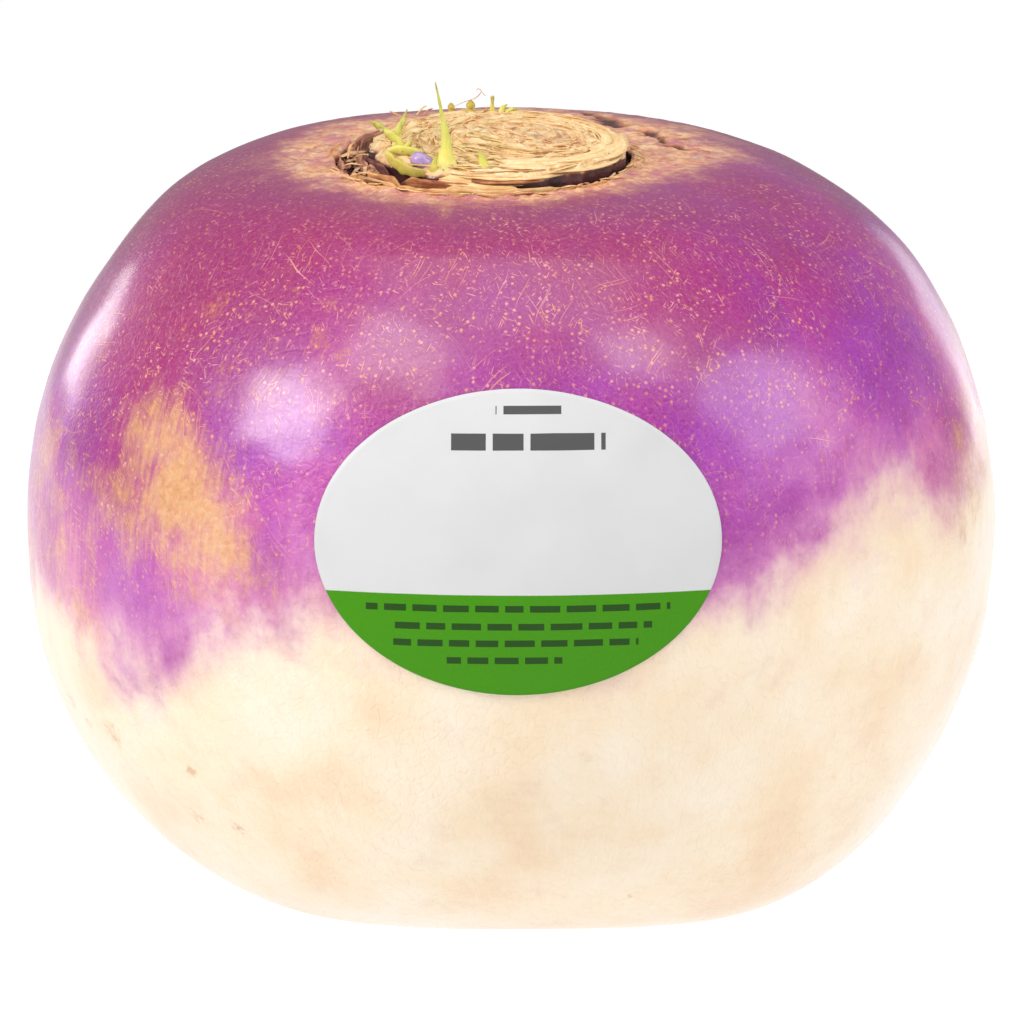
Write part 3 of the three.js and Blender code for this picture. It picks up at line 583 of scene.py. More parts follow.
for i in range(80):  # feathery strands that rise and lean together behind the shoots
    a = math.radians(rng.uniform(165, 262)); rho = rng.uniform(4.6, 10.4); L = rng.uniform(1.2, 3.0)
    p0, q0 = DISC_DX + rho * math.cos(a), rho * math.sin(a); d = a + rng.uniform(0.9, 1.7)
    c, s = math.cos(d), math.sin(d); z0 = DISC_H + 0.1
    pts = [(p0, q0, z0), (p0 + c * L * 0.4, q0 + s * L * 0.4, z0 + 0.22 + 0.2 * rng.random()), (p0 + c * L, q0 + s * L, z0 + 0.15 + 0.45 * rng.random())]
    fibre(b, pts, rng.uniform(0.12, 0.34), rng.uniform(0.08, 0.16), n=10, tone=rng.uniform(0.0, 0.22), green=rng.uniform(0.0, 0.55), seed=500 + i)
crown_fibres = b.make("crown_fibres")

# ---------------------------------------------------------------- young shoots
C = lambda p, q, h: crown(p, q, h).reshape(3)
SIDE = (1, 0, 0)
shoots = []
b = stalk([C(-3.15, -10.1, 0.9), C(-3.3, -9.9, 2.0), C(-3.28, -9.6, 3.3), C(-3.45, -9.2, 5.0), C(-3.85, -8.8, 7.0), C(-4.28, -8.4, 9.05)], [1.15, 0.95, 0.66, 0.42, 0.25, 0.10, 0.05], [0.5, 0.5, 0.34, 0.24, 0.16, 0.08, 0.04], SIDE, 60, 16, 0.05, 3, 0.18, kind=0.0)
stalk([C(-4.1, -10.0, 0.85), C(-4.35, -9.9, 1.6), C(-4.1, -9.5, 2.6)], [0.45, 0.62, 0.30, 0.12], [0.4, 0.45, 0.25, 0.1], SIDE, 22, 12, 0.05, 4, 0.0, build=b, kind=0.35)
stalk([C(-2.2, -10.3, 0.75), C(-1.6, -10.35, 1.15), C(-0.9, -10.3, 1.0), C(-0.3, -10.3, 0.7)], [0.4, 0.55, 0.55, 0.3], [0.25, 0.28, 0.25, 0.2], AXIS, 24, 12, 0.08, 5, 0.2, build=b, kind=0.15)
o = b.make("tall_shoot"); shoots.append((o, ["shoot_tall"], "green_shoot"))
b = stalk([C(0.25, -10.6, 0.7), C(0.2, -10.4, 1.6), C(-0.05, -10.1, 2.5), C(-0.2, -9.95, 3.05)], [0.62, 0.50, 0.30, 0.10], [0.42, 0.36, 0.22, 0.08], SIDE, 34, 14, 0.05, 6, 0.12, kind=0.1)
stalk([C(0.75, -10.7, 0.65), C(0.95, -10.6, 1.2), C(0.9, -10.4, 1.75)], [0.35, 0.32, 0.12], [0.25, 0.22, 0.1], SIDE, 20, 10, 0.05, 7, 0.0, build=b, kind=0.0)
o = b.make("stub_shoot"); shoots.append((o, ["shoot_stub"], "green_shoot"))
b = stalk([C(-6.9, -5.9, 1.6), C(-7.3, -5.6, 2.2), C(-8.2, -5.2, 3.0), C(-9.3, -4.7, 3.8), C(-10.4, -4.3, 4.4)], [0.40, 0.50, 0.34, 0.40, 0.26, 0.30, 0.14], [0.34, 0.42, 0.28, 0.32, 0.22, 0.24, 0.12], AXIS, 46, 14, 0.20, 8, 0.05, kind=0.2)
stalk([C(-9.2, -4.8, 3.7), C(-9.8, -4.7, 4.3), C(-10.2, -4.9, 4.55)], [0.25, 0.2, 0.08], [0.2, 0.16, 0.06], AXIS, 16, 10, 0.06, 9, 0.0, build=b, kind=0.1)
stalk([C(-7.2, -5.8, 2.1), C(-6.7, -5.9, 2.6), C(-6.5, -6.1, 2.9)], [0.3, 0.26, 0.1], [0.26, 0.2, 0.08], AXIS, 16, 10, 0.06, 10, 0.0, build=b, kind=0.2)
o = b.make("left_shoot"); shoots.append((o, ["shoot_left"], "green_shoot"))
b = stalk([C(-8.1, -3.9, 1.9), C(-7.95, -3.7, 2.8), C(-7.5, -3.4, 3.9), C(-7.0, -3.0, 5.05)], [0.36, 0.34, 0.26, 0.10], [0.26, 0.24, 0.18, 0.07], SIDE, 34, 12, 0.07, 11, 0.12, kind=0.05)
stalk([C(-7.6, -3.5, 3.5), C(-7.3, -3.4, 4.1), C(-7.25, -3.3, 4.6)], [0.2, 0.18, 0.07], [0.16, 0.14, 0.06], SIDE, 16, 10, 0.05, 12, 0.0, build=b, kind=0.1)
o = b.make("upright_shoot"); shoots.append((o, ["shoot_left_upright"], "green_shoot"))
b = stalk([C(-8.9, -6.4, 2.05), C(-8.1, -7.9, 1.45), C(-6.5, -9.3, 0.95), C(-4.7, -10.15, 0.85)], [0.26, 0.50, 0.58, 0.44, 0.20], [0.18, 0.22, 0.24, 0.20, 0.12], AXIS, 44, 14, 0.12, 13, 0.25, kind=0.45)
stalk([C(-8.7, -5.6, 2.0), C(-7.6, -6.2, 2.15), C(-6.3, -6.8, 2.1), C(-5.2, -7.9, 1.7)], [0.25, 0.42, 0.40, 0.18], [0.2, 0.25, 0.22, 0.1], AXIS, 30, 12, 0.08, 14, 0.15, build=b, kind=0.15)
o = b.make("sheath"); shoots.append((o, ["bud_sheath"], "green_shoot"))


def bud(cp, cq, ch, lx, ly, lz, turn, tip, name):
    """A smooth egg, a little pointed at one end."""
    n, m = 26, 34
    th = np.linspace(0, np.pi, n + 2)[1:-1]; ph = 2 * np.pi * np.arange(m) / m
    X = np.cos(th) * (1 + 0.10 * np.cos(th)); Rr = np.sin(th) * (1 - 0.16 * np.cos(th))
    P = np.stack([np.repeat(X[:, None], m, 1) * lx, np.outer(Rr, np.cos(ph)) * ly, np.outer(Rr, np.sin(ph)) * lz], -1)
    P = np.vstack([[[lx * 1.1, 0, 0]], P.reshape(-1, 3), [[-lx * 0.9, 0, 0]]])
    P = P * (1 + 0.02 * vnoise(P * 1.4, 91))[:, None]
    c, s = math.cos(math.radians(tip)), math.sin(math.radians(tip)); P = P @ np.array([[c, 0, s], [0, 1, 0], [-s, 0, c]])
    c, s = math.cos(math.radians(turn)), math.sin(math.radians(turn)); P = P @ np.array([[c, s, 0], [-s, c, 0], [0, 0, 1]])
    return new_object(name, P + C(cp, cq, ch), ring_faces(n, m, 0, 0), {"along": np.linspace(0, 1, len(P))})


lilac = bud(-5.45, -8.5, 1.55, 1.40, 0.80, 0.78, -18, -24, "lilac_bud")
shoots.append((lilac, ["leaf_bud"], "lilac_bud"))

b = stalk([C(-3.05, 9.9, 1.7), C(-3.03, 10.1, 2.2)], [0.2, 0.24, 0.2], [0.2, 0.24, 0.2], SIDE, 14, 12, 0.04, 15, kind=0.55)
stalk([C(-3.03, 10.1, 2.15), C(-3.03, 10.15, 2.75)], [0.22, 0.36, 0.36, 0.16], [0.2, 0.32, 0.32, 0.14], SIDE, 18, 14, 0.05, 16, build=b, kind=0.55)
o = b.make("rear_knob_left"); shoots.append((o, ["rear_stub_left"], "green_shoot"))
b = stalk([C(-1.17, 9.9, 1.7), C(-1.17, 10.1, 2.35)], [0.26, 0.24, 0.26], [0.24, 0.22, 0.24], SIDE, 16, 12, 0.04, 17, kind=0.2)
stalk([C(-1.17, 10.1, 2.3), C(-1.15, 10.15, 3.0)], [0.28, 0.44, 0.42, 0.2], [0.26, 0.38, 0.36, 0.18], SIDE, 18, 14, 0.06, 18, build=b, kind=0.5)
o = b.make("rear_knob_middle"); shoots.append((o, ["rear_stub_middle"], "green_shoot"))
b = stalk([C(0.9, 9.9, 1.7), C(0.92, 10.1, 2.5), C(0.94, 10.2, 3.4)], [0.26, 0.22, 0.17, 0.21], [0.22, 0.2, 0.16, 0.18], SIDE, 24, 12, 0.04, 19, kind=0.3)
o = b.make("rear_stalk"); shoots.append((o, ["rear_stub_tall"], "green_shoot"))
b = stalk([C(1.7, 9.9, 1.8), C(2.0, 10.1, 2.4), C(2.3, 10.1, 2.65)], [0.3, 0.24, 0.12], [0.24, 0.2, 0.1], SIDE, 18, 12, 0.07, 20, kind=0.1)
stalk([C(2.2, 9.8, 1.8), C(2.7, 9.9, 2.2), C(3.2, 9.9, 2.25)], [0.2, 0.18, 0.08], [0.18, 0.15, 0.07], SIDE, 16, 10, 0.05, 21, build=b, kind=0.1)
o = b.make("rear_knob_right"); shoots.append((o, ["rear_stub_right"], "green_shoot"))

# a hair-thin curled root fibre and a few splinters
b = Build()
fibre(b, [(-2.7, 10.2, 2.5), (-1.7, 10.3, 2.9), (-0.8, 10.35, 3.2), (-0.35, 10.4, 3.55), (-0.15, 10.4, 3.95), (-0.45, 10.4, 4.15), (-0.62, 10.4, 3.9)], 0.09, 0.08, n=44, tone=0.5, seed=900)
fibre(b, [(-0.15, 10.4, 3.9), (0.1, 10.4, 3.6), (0.3, 10.45, 3.45)], 0.08, 0.07, n=14, tone=0.5, seed=901)
for x in ([(-6.4, 6.3, 2.3), (-5.7, 6.5, 3.05), (-5.3, 6.5, 3.25)], [(-5.6, 6.3, 2.4), (-5.2, 6.4, 2.8), (-4.7, 6.5, 2.95)], [(-7.6, 4.6, 2.7), (-8.3, 4.5, 3.05), (-8.8, 4.5, 3.35)], [(0.1, 10.0, 2.0), (0.4, 10.1, 2.35), (0.8, 10.1, 2.3)],
          [(-12.2, -3.2, 0.6), (-11.3, -3.9, 1.25), (-10.6, -4.3, 1.3)], [(-13.0, -5.2, 0.5), (-12.2, -6.1, 1.0), (-11.1, -6.6, 0.95)], [(-12.6, -1.8, 0.4), (-12.4, -0.4, 1.2), (-12.0, 0.9, 1.3)], [(-11.9, -7.4, 0.2), (-10.9, -8.6, 0.75), (-9.6, -9.4, 0.7)]):
    fibre(b, x, 0.32, 0.16, n=14, tone=rng.uniform(0.2, 0.6), seed=902)
crown_hairs = b.make("crown_hairs")

# ================================================================ materials
def rgb(r, g, b):
    f = lambda c: (c / 255 / 12.92) if c / 255 <= 0.04045 else ((c / 255 + 0.055) / 1.055) ** 2.4
    return (f(r), f(g), f(b), 1.0)


class Mat:
    def __init__(self, name, **principled):
        self.m = bpy.data.materials.new(name); self.m.use_nodes = True
        self.t = self.m.node_tree; self.t.nodes.clear()
        self.out = self.t.nodes.new("ShaderNodeOutputMaterial"); self.b = self.t.nodes.new("ShaderNodeBsdfPrincipled")
        self.t.links.new(self.b.outputs[0], self.out.inputs[0])
        for k, v in principled.items(): self.b.inputs[k.replace("_", " ")].default_value = v

    def put(self, sock, v):
        if isinstance(v, bpy.types.NodeSocket): self.t.links.new(v, sock)
        elif v is not None: sock.default_value = v

    def node(self, kind, **props):
        n = self.t.nodes.new(kind)
        for k, v in props.items(): setattr(n, k, v)
        return n

    def attr(self, name, vector=False):
        n = self.node("ShaderNodeAttribute", attribute_name=name)
        return n.outputs["Vector" if vector else "Fac"]

    def math(self, op, a, b=None, c=None, clamp=False):
        n = self.node("ShaderNodeMath", operation=op, use_clamp=clamp)
        for i, v in enumerate((a, b, c)): self.put(n.inputs[i], v)
        return n.outputs[0]

    def add(self, a, b): return self.math("ADD", a, b)
    def sub(self, a, b): return self.math("SUBTRACT", a, b)
    def mul(self, a, b): return self.math("MULTIPLY", a, b)

    def step(self, x, lo, hi, a=0.0, b=1.0):
        n = self.node("ShaderNodeMapRange", interpolation_type="SMOOTHSTEP")
        for i, v in enumerate((x, lo, hi, a, b)): self.put(n.inputs[i], v)
        return n.outputs[0]

    def lin(self, x, lo, hi, a=0.0, b=1.0):
        n = self.node("ShaderNodeMapRange", interpolation_type="LINEAR")
        for i, v in enumerate((x, lo, hi, a, b)): self.put(n.inputs[i], v)
        return n.outputs[0]

    def vop(self, op, a, b):
        n = self.node("ShaderNodeVectorMath", operation=op); self.put(n.inputs[0], a); self.put(n.inputs[1], b)
        return n.outputs[0]

    def rot(self, v, deg):
        n = self.node("ShaderNodeVectorRotate", rotation_type="Z_AXIS"); self.put(n.inputs["Vector"], v); n.inputs["Angle"].default_value = math.radians(deg)
        return n.outputs[0]

    def noise(self, v, scale=1.0, detail=2.0, rough=0.5, dist=0.0, color=False):
        n = self.node("ShaderNodeTexNoise"); self.put(n.inputs["Vector"], v)
        n.inputs["Scale"].default_value = scale; n.inputs["Detail"].default_value = detail; n.inputs["Roughness"].default_value = rough; n.inputs["Distortion"].default_value = dist
        return n.outputs["Color" if color else "Fac"]

    def voro(self, v, scale=1.0, feature="F1", dims="3D", rand=1.0):
        n = self.node("ShaderNodeTexVoronoi", feature=feature, voronoi_dimensions=dims)
        if dims == "1D": self.put(n.inputs["W"], v)
        else: self.put(n.inputs["Vector"], v)
        n.inputs["Scale"].default_value = scale; n.inputs["Randomness"].default_value = rand
        return n

    def mix(self, f, a, b, blend="MIX"):
        n = self.node("ShaderNodeMix", data_type="RGBA", blend_type=blend)
        self.put(n.inputs[0], f); self.put(n.inputs[6], a); self.put(n.inputs[7], b)
        return n.outputs[2]

    def ramp(self, f, stops):
        n = self.node("ShaderNodeValToRGB"); self.put(n.inputs[0], f)
        e = n.color_ramp.elements
        while len(e) > 1: e.remove(e[-1])
        e[0].position, e[0].color = stops[0][0], stops[0][1]
        for p, c in stops[1:]:
            x = e.new(p); x.color = c
        return n.outputs[0]

    def bump(self, height, distance=0.001, strength=1.0):
        n = self.node("ShaderNodeBump"); self.put(n.inputs["Height"], height)
        n.inputs["Distance"].default_value = distance; n.inputs["Strength"].default_value = strength
        self.t.links.new(n.outputs[0], self.b.inputs["Normal"])

    def mm(self):
        return self.vop("MULTIPLY", self.node("ShaderNodeTexCoord").outputs["Object"], (1000, 1000, 1000))

    def dash(self, v, deg, sx, sy, t, keep, shift=0.0):
        """Short tapered marks: sx and sy are the spacing along and across, t the share of it that a mark fills, keep the share of marks kept."""
        w = self.vop("ADD", self.vop("MULTIPLY", self.rot(v, deg), (1 / sx, 1 / sy, 0)), (shift, shift * 0.7, 0))
        n = self.voro(w, 1.0, "F1", "2D", 1.0)
        sep = self.node("ShaderNodeSeparateColor"); self.t.links.new(n.outputs["Color"], sep.inputs[0])
        size = self.lin(sep.outputs[1], 0, 1, 0.45 * t, t)
        inside = self.math("SUBTRACT", 1.0, self.step(self.math("DIVIDE", n.outputs["Distance"], size), 0.55, 1.0))
        return self.mul(inside, self.math("MULTIPLY", self.math("LESS_THAN", sep.outputs[0], keep), self.lin(sep.outputs[2], 0, 1, 0.45, 1.0)))


# ---------------------------------------------------------------- the skin of the root
M = Mat("turnip_skin", Roughness=0.32, IOR=1.45, Coat_Weight=0.85, Coat_Roughness=0.21)
M.b.inputs["Subsurface Weight"].default_value = 0.0
P = M.mm(); flow = M.attr("flow", True); plan = M.attr("plan", True)
edge, cork, cav, disc = M.attr("edge"), M.attr("cork"), M.attr("cav"), M.attr("disc")
gold, rust, brown, scar = M.attr("gold"), M.attr("rust"), M.attr("brown"), M.attr("scar")
big = M.noise(P, 0.055, 2, 0.5); big2 = M.noise(M.vop("ADD", P, (70, 20, 9)), 0.09, 3, 0.5)
mid = M.noise(P, 0.28, 4, 0.6); fine = M.noise(P, 1.7, 4, 0.6); grit = M.noise(P, 5.5, 2, 0.6)
st1 = M.noise(M.vop("MULTIPLY", flow, (0.30, 0.30, 0.11)), 1, 4, 0.6); st2 = M.noise(M.vop("MULTIPLY", flow, (1.9, 1.9, 0.22)), 1, 4, 0.65)
st3 = M.noise(M.vop("MULTIPLY", flow, (5.0, 5.0, 0.5)), 1, 3, 0.6)
warp = M.vop("ADD", plan, M.vop("MULTIPLY", M.vop("SUBTRACT", M.noise(P, 0.09, 2, 0.5, color=True), (0.5, 0.5, 0.5)), (5, 5, 0)))

# cream flesh below
cream = M.ramp(big2, [(0.32, rgb(249, 233, 211)), (0.5, rgb(247, 225, 194)), (0.66, rgb(243, 212, 176))])
cream = M.mix(M.step(mid, 0.5, 0.78, 0, 0.18), cream, rgb(243, 214, 176))
cream = M.mix(M.step(st2, 0.52, 0.8, 0, 0.35), cream, rgb(253, 243, 226))
# purple above, with its feathered edge
cloud = M.noise(M.vop("ADD", P, (11, 5, 30)), 0.10, 4, 0.55, 0.3)
e = M.add(M.add(M.add(edge, M.mul(M.sub(st1, 0.5), 4.5)), M.mul(M.sub(st2, 0.5), 1.2)), M.add(M.mul(M.sub(cloud, 0.5), 20.0), M.mul(M.sub(fine, 0.5), 2.0)))
u = M.lin(e, -6, 34)
mag = M.ramp(u, [(0.0, rgb(242, 212, 200)), (0.12, rgb(230, 170, 186)), (0.22, rgb(212, 116, 172)), (0.34, rgb(188, 64, 160)), (0.5, rgb(170, 30, 148)), (0.72, rgb(158, 20, 116)), (1.0, rgb(156, 26, 94))])
vio = M.ramp(u, [(0.0, rgb(240, 212, 202)), (0.12, rgb(226, 168, 194)), (0.22, rgb(202, 114, 182)), (0.34, rgb(176, 66, 172)), (0.5, rgb(156, 34, 166)), (0.72, rgb(150, 24, 128)), (1.0, rgb(150, 28, 98))])
pur = M.mix(M.step(M.sub(M.add(big, M.mul(M.sub(st1, 0.5), 0.35)), M.mul(gold, 0.30)), 0.37, 0.58), mag, vio)
pur = M.mix(M.step(st3, 0.35, 0.75, 0, 0.08), pur, rgb(196, 110, 180))
pur = M.mix(M.step(cloud, 0.45, 0.75, 0, 0.30), pur, rgb(140, 24, 104))
pur = M.mix(M.step(fine, 0.55, 0.85, 0, 0.30), pur, rgb(204, 112, 170))
pur = M.mix(M.step(M.noise(P, 0.9, 3, 0.65), 0.48, 0.72, 0, 0.30), pur, rgb(146, 26, 116))
net = M.voro(M.vop("ADD", P, M.vop("MULTIPLY", M.noise(P, 1.1, 2, 0.5, color=True), (1.2, 1.2, 1.2))), 1.5, "DISTANCE_TO_EDGE")
netk = M.math("SUBTRACT", 1.0, M.step(net.outputs["Distance"], 0.02, 0.16))
pur = M.mix(M.mul(netk, 0.07), pur, rgb(222, 150, 186))
col = M.mix(M.step(e, -6.5, 4.5), cream, pur)
purple = M.step(e, 0, 8)

# pale and golden patches, rusty and brown spots
gn = M.mul(M.step(gold, 0.0, 0.25), M.add(M.add(gold, M.mul(M.sub(cloud, 0.5), 0.9)), M.add(M.mul(M.sub(mid, 0.5), 1.0), M.mul(M.sub(st2, 0.5), 0.7))))
gs = M.dash(warp, 80, 6.0, 0.5, 0.22, 0.5, 5.0)
col = M.mix(M.mul(M.step(M.add(gn, M.mul(gs, 0.35)), 0.16, 0.95), 0.84), col, M.ramp(M.add(M.mul(fine, 0.5), M.mul(cloud, 0.5)), [(0.36, rgb(238, 198, 134)), (0.5, rgb(226, 174, 106)), (0.62, rgb(204, 146, 78))]))
rn = M.add(rust, M.add(M.mul(M.sub(fine, 0.5), 1.5), M.mul(M.sub(mid, 0.5), 0.5)))
col = M.mix(M.mul(M.step(rn, 0.42, 0.92), 0.55), col, M.ramp(grit, [(0.35, rgb(214, 140, 80)), (0.65, rgb(176, 88, 66))]))
bn = M.add(brown, M.add(M.mul(M.sub(fine, 0.5), 1.1), M.mul(M.sub(mid, 0.5), 0.5)))
col = M.mix(M.mul(M.step(bn, 0.38, 0.85), 0.62), col, M.ramp(grit, [(0.35, rgb(222, 174, 122)), (0.65, rgb(190, 134, 88))]))

# scratches and specks
marks = None
for i, (deg, sx, sy, t, keep) in enumerate([(18, 4.6, 0.42, 0.17, 0.24), (71, 5.2, 0.46, 0.17, 0.30), (118, 4.8, 0.44, 0.16, 0.26), (96, 9.0, 0.62, 0.11, 0.24), (40, 1.5, 0.40, 0.24, 0.26), (133, 1.4, 0.40, 0.24, 0.26), (62, 22.0, 0.34, 0.2, 0.10), (112, 18.0, 0.32, 0.2, 0.10), (150, 20.0, 0.34, 0.2, 0.09)]):
    d = M.dash(warp, deg, sx, sy, t, keep, 3.7 * i)
    marks = d if marks is None else M.math("MAXIMUM", marks, d)
dots = M.voro(P, 1.7); ds = M.node("ShaderNodeSeparateColor"); M.t.links.new(dots.outputs["Color"], ds.inputs[0])
dot = M.mul(M.math("SUBTRACT", 1.0, M.step(dots.outputs["Distance"], 0.15, 0.36)), M.math("LESS_THAN", ds.outputs[0], 0.36))
dots2 = M.voro(P, 3.4); ds2 = M.node("ShaderNodeSeparateColor"); M.t.links.new(dots2.outputs["Color"], ds2.inputs[0])
dot2 = M.mul(M.math("SUBTRACT", 1.0, M.step(dots2.outputs["Distance"], 0.12, 0.30)), M.math("LESS_THAN", ds2.outputs[0], 0.4))
thick = M.step(M.add(mid, M.mul(M.step(edge, 14, 36), 0.16)), 0.36, 0.62, 0.25, 1.0)
m_all = M.math("MAXIMUM", M.mul(marks, thick), M.math("MAXIMUM", M.mul(dot, 0.90), M.mul(dot2, M.mul(thick, 0.50))))
zone = M.math("MINIMUM", M.add(M.mul(M.step(M.noise(P, 0.07, 2, 0.5), 0.40, 0.60, 0.55, 0.95), M.step(mid, 0.36, 0.60, 0.55, 1.0)), M.mul(gold, 1.0)), 1.0)
onp = M.mul(m_all, M.mul(purple, M.mul(zone, 0.95)))
col = M.mix(onp, col, M.ramp(M.noise(P, 0.6, 2, 0.5), [(0.35, rgb(236, 168, 158)), (0.5, rgb(232, 158, 122)), (0.65, rgb(226, 150, 84))]))
col = M.mix(M.mul(M.mul(marks, M.math("SUBTRACT", 1.0, purple)), 0.14), col, rgb(240, 212, 168))
col = M.mix(M.mul(M.mul(dot, M.math("SUBTRACT", 1.0, purple)), 0.10), col, rgb(226, 186, 136))

# corky skin round the crown
cn = M.add(M.add(M.mul(cork, 0.9), M.mul(M.sub(mid, 0.5), 1.1)), M.add(M.mul(M.sub(fine, 0.5), 0.5), M.mul(M.sub(st2, 0.5), 0.3)))
haze = M.step(M.add(cork, M.mul(M.sub(mid, 0.5), 0.8)), 0.0, 0.6)
col = M.mix(M.mul(haze, 0.42), col, rgb(184, 100, 112))
mauve = M.mix(M.step(mid, 0.4, 0.7), rgb(200, 116, 130), rgb(222, 152, 138))
corkc = M.ramp(M.add(M.mul(M.noise(P, 0.8, 4, 0.6), 0.65), M.mul(fine, 0.35)), [(0.30, rgb(178, 100, 78)), (0.42, rgb(226, 160, 114)), (0.52, rgb(246, 190, 140)), (0.66, rgb(255, 222, 178))])
corkc = M.mix(M.step(M.noise(M.vop("ADD", P, (3, 9, 4)), 0.33, 3, 0.55), 0.48, 0.64, 0, 0.85), corkc, mauve)
col = M.mix(M.mul(M.step(cn, 0.18, 0.98), 0.92), col, corkc)
# the cut crown
wh = M.attr("whorl"); dsp = M.node("ShaderNodeSeparateXYZ"); M.t.links.new(P, dsp.inputs[0])
wv = M.node("ShaderNodeCombineXYZ"); M.put(wv.inputs[0], M.mul(M.add(wh, M.mul(M.sub(M.noise(P, 0.45, 3, 0.6), 0.5), 2.6)), 2.4)); M.put(wv.inputs[1], M.mul(dsp.outputs[0], 0.28)); M.put(wv.inputs[2], M.mul(dsp.outputs[1], 0.28))
rr = M.noise(wv.outputs[0], 1, 4, 0.62, 0.3)
blotch = M.noise(P, 0.75, 4, 0.62, 0.4)
discc = M.ramp(M.add(M.mul(rr, 0.50), M.add(M.mul(fine, 0.20), M.mul(blotch, 0.30))), [(0.34, rgb(212, 140, 88)), (0.43, rgb(248, 198, 136)), (0.51, rgb(250, 212, 154)), (0.62, rgb(253, 232, 190))])
heart = M.math("SUBTRACT", 1.0, M.step(wh, 1.5, 7.5))
discc = M.mix(M.mul(heart, M.step(M.noise(P, 1.2, 3, 0.6), 0.46, 0.68, 0, 0.75)), discc, rgb(226, 148, 112))
discc = M.mix(M.mul(M.step(grit, 0.60, 0.76), M.add(0.25, M.mul(heart, 0.4))), discc, rgb(184, 104, 80))
col = M.mix(disc, col, discc)
# painted shade in the groove and at the disc's edge, and the cracks darkened, partly their own dark colour and partly
# painted shade
shade_and_crack_k = M.math("MINIMUM", M.mul(M.add(cav, M.mul(M.mul(M.sub(fine, 0.5), 0.5), M.step(cav, 0.0, 0.25))), 1.15), 1.0)
col = M.mix(M.step(shade_and_crack_k, 0.0, 0.42, 0.0, 0.85), col, rgb(176, 104, 66))
col = M.mix(M.step(shade_and_crack_k, 0.16, 0.72), col, M.ramp(mid, [(0.35, rgb(48, 16, 20)), (0.65, rgb(92, 36, 40))]))
# underside scar
col = M.mix(M.mul(M.step(M.add(scar, M.mul(M.sub(mid, 0.5), 0.6)), 0.5, 1.1), 0.35), col, rgb(226, 188, 140))
M.put(M.b.inputs["Base Color"], col)

dry_k = M.math("MAXIMUM", M.step(cn, 0.42, 0.86), M.math("MAXIMUM", disc, cav))
ro = M.add(M.lin(fine, 0.3, 0.7, 0.34, 0.46), M.mul(onp, 0.18))
ro = M.add(M.mul(ro, M.math("SUBTRACT", 1.0, dry_k)), M.mul(dry_k, 0.85))
M.put(M.b.inputs["Roughness"], ro)
wr = M.noise(M.vop("MULTIPLY", flow, (1.5, 1.5, 0.8)), 1, 3, 0.55)
wr2 = M.noise(P, 3.2, 2, 0.6)
crk_ = M.voro(M.vop("ADD", P, M.vop("MULTIPLY", wr, (1.4, -1.4, 1.2))), 0.75, "DISTANCE_TO_EDGE")
hgt = M.add(M.add(M.mul(wr, 0.060), M.mul(wr2, 0.030)), M.step(crk_.outputs["Distance"], 0.0, 0.14, 0.0, 0.026))
hgt = M.add(hgt, M.mul(M.math("MAXIMUM", M.mul(cork, 0.8), M.math("MAXIMUM", disc, cav)), M.mul(fine, 0.26)))
M.bump(hgt)
skin_mat = M.m

# ---------------------------------------------------------------- the sticker
M = Mat("sticker_paper", Roughness=0.42, IOR=1.3)
P = M.mm(); pl = M.attr("plane", True)
sep = M.node("ShaderNodeSeparateXYZ"); M.t.links.new(pl, sep.inputs[0]); x, y = sep.outputs[0], sep.outputs[1]
grain = M.noise(P, 7.0, 3, 0.6); soft = M.noise(P, 0.15, 2, 0.5)
white = M.mix(M.step(soft, 0.35, 0.65), rgb(206, 206, 207), rgb(209, 209, 210))
green = M.mix(M.step(grain, 0.35, 0.7), rgb(62, 138, 0), rgb(67, 143, 1))
col = M.mix(M.step(M.add(y, M.mul(M.sub(grain, 0.5), 0.05)), -4.43, -4.35), green, white)


def bars(M, col, ink, rows_, freq, gap, seed0):
    """Rows of plain bars, broken at uneven places: y, height, half length, x shift."""
    for i, (yy, hh, half, x0) in enumerate(rows_):
        inrow = M.math("LESS_THAN", M.math("ABSOLUTE", M.sub(y, yy)), hh / 2)
        inlen = M.math("LESS_THAN", M.math("ABSOLUTE", M.sub(x, x0)), half)
        v = M.voro(M.add(x, 31.7 * (i + seed0)), freq, "DISTANCE_TO_EDGE", "1D", 0.75)
        on = M.math("GREATER_THAN", v.outputs["Distance"], gap)
        col = M.mix(M.mul(M.mul(inrow, inlen), M.mul(on, 0.9)), col, ink)
    return col


col = bars(M, col, rgb(26, 58, 14), [(-5.6, 0.60, 13.4, 0.0), (-7.2, 0.60, 11.6, 0.2), (-8.7, 0.60, 10.8, -0.2), (-10.25, 0.60, 5.1, -1.2)], 0.36, 0.10, 1)
col = bars(M, col, rgb(44, 44, 46), [(11.6, 0.72, 2.9, 0.9), (8.9, 1.45, 6.8, 0.9)], 0.2, 0.06, 9)
M.put(M.b.inputs["Base Color"], col)
M.put(M.b.inputs["Roughness"], M.lin(grain, 0.3, 0.7, 0.30, 0.40))
M.bump(M.add(M.mul(grain, 0.004), M.mul(M.noise(P, 0.8, 2, 0.5), 0.02)))
label_mat = M.m


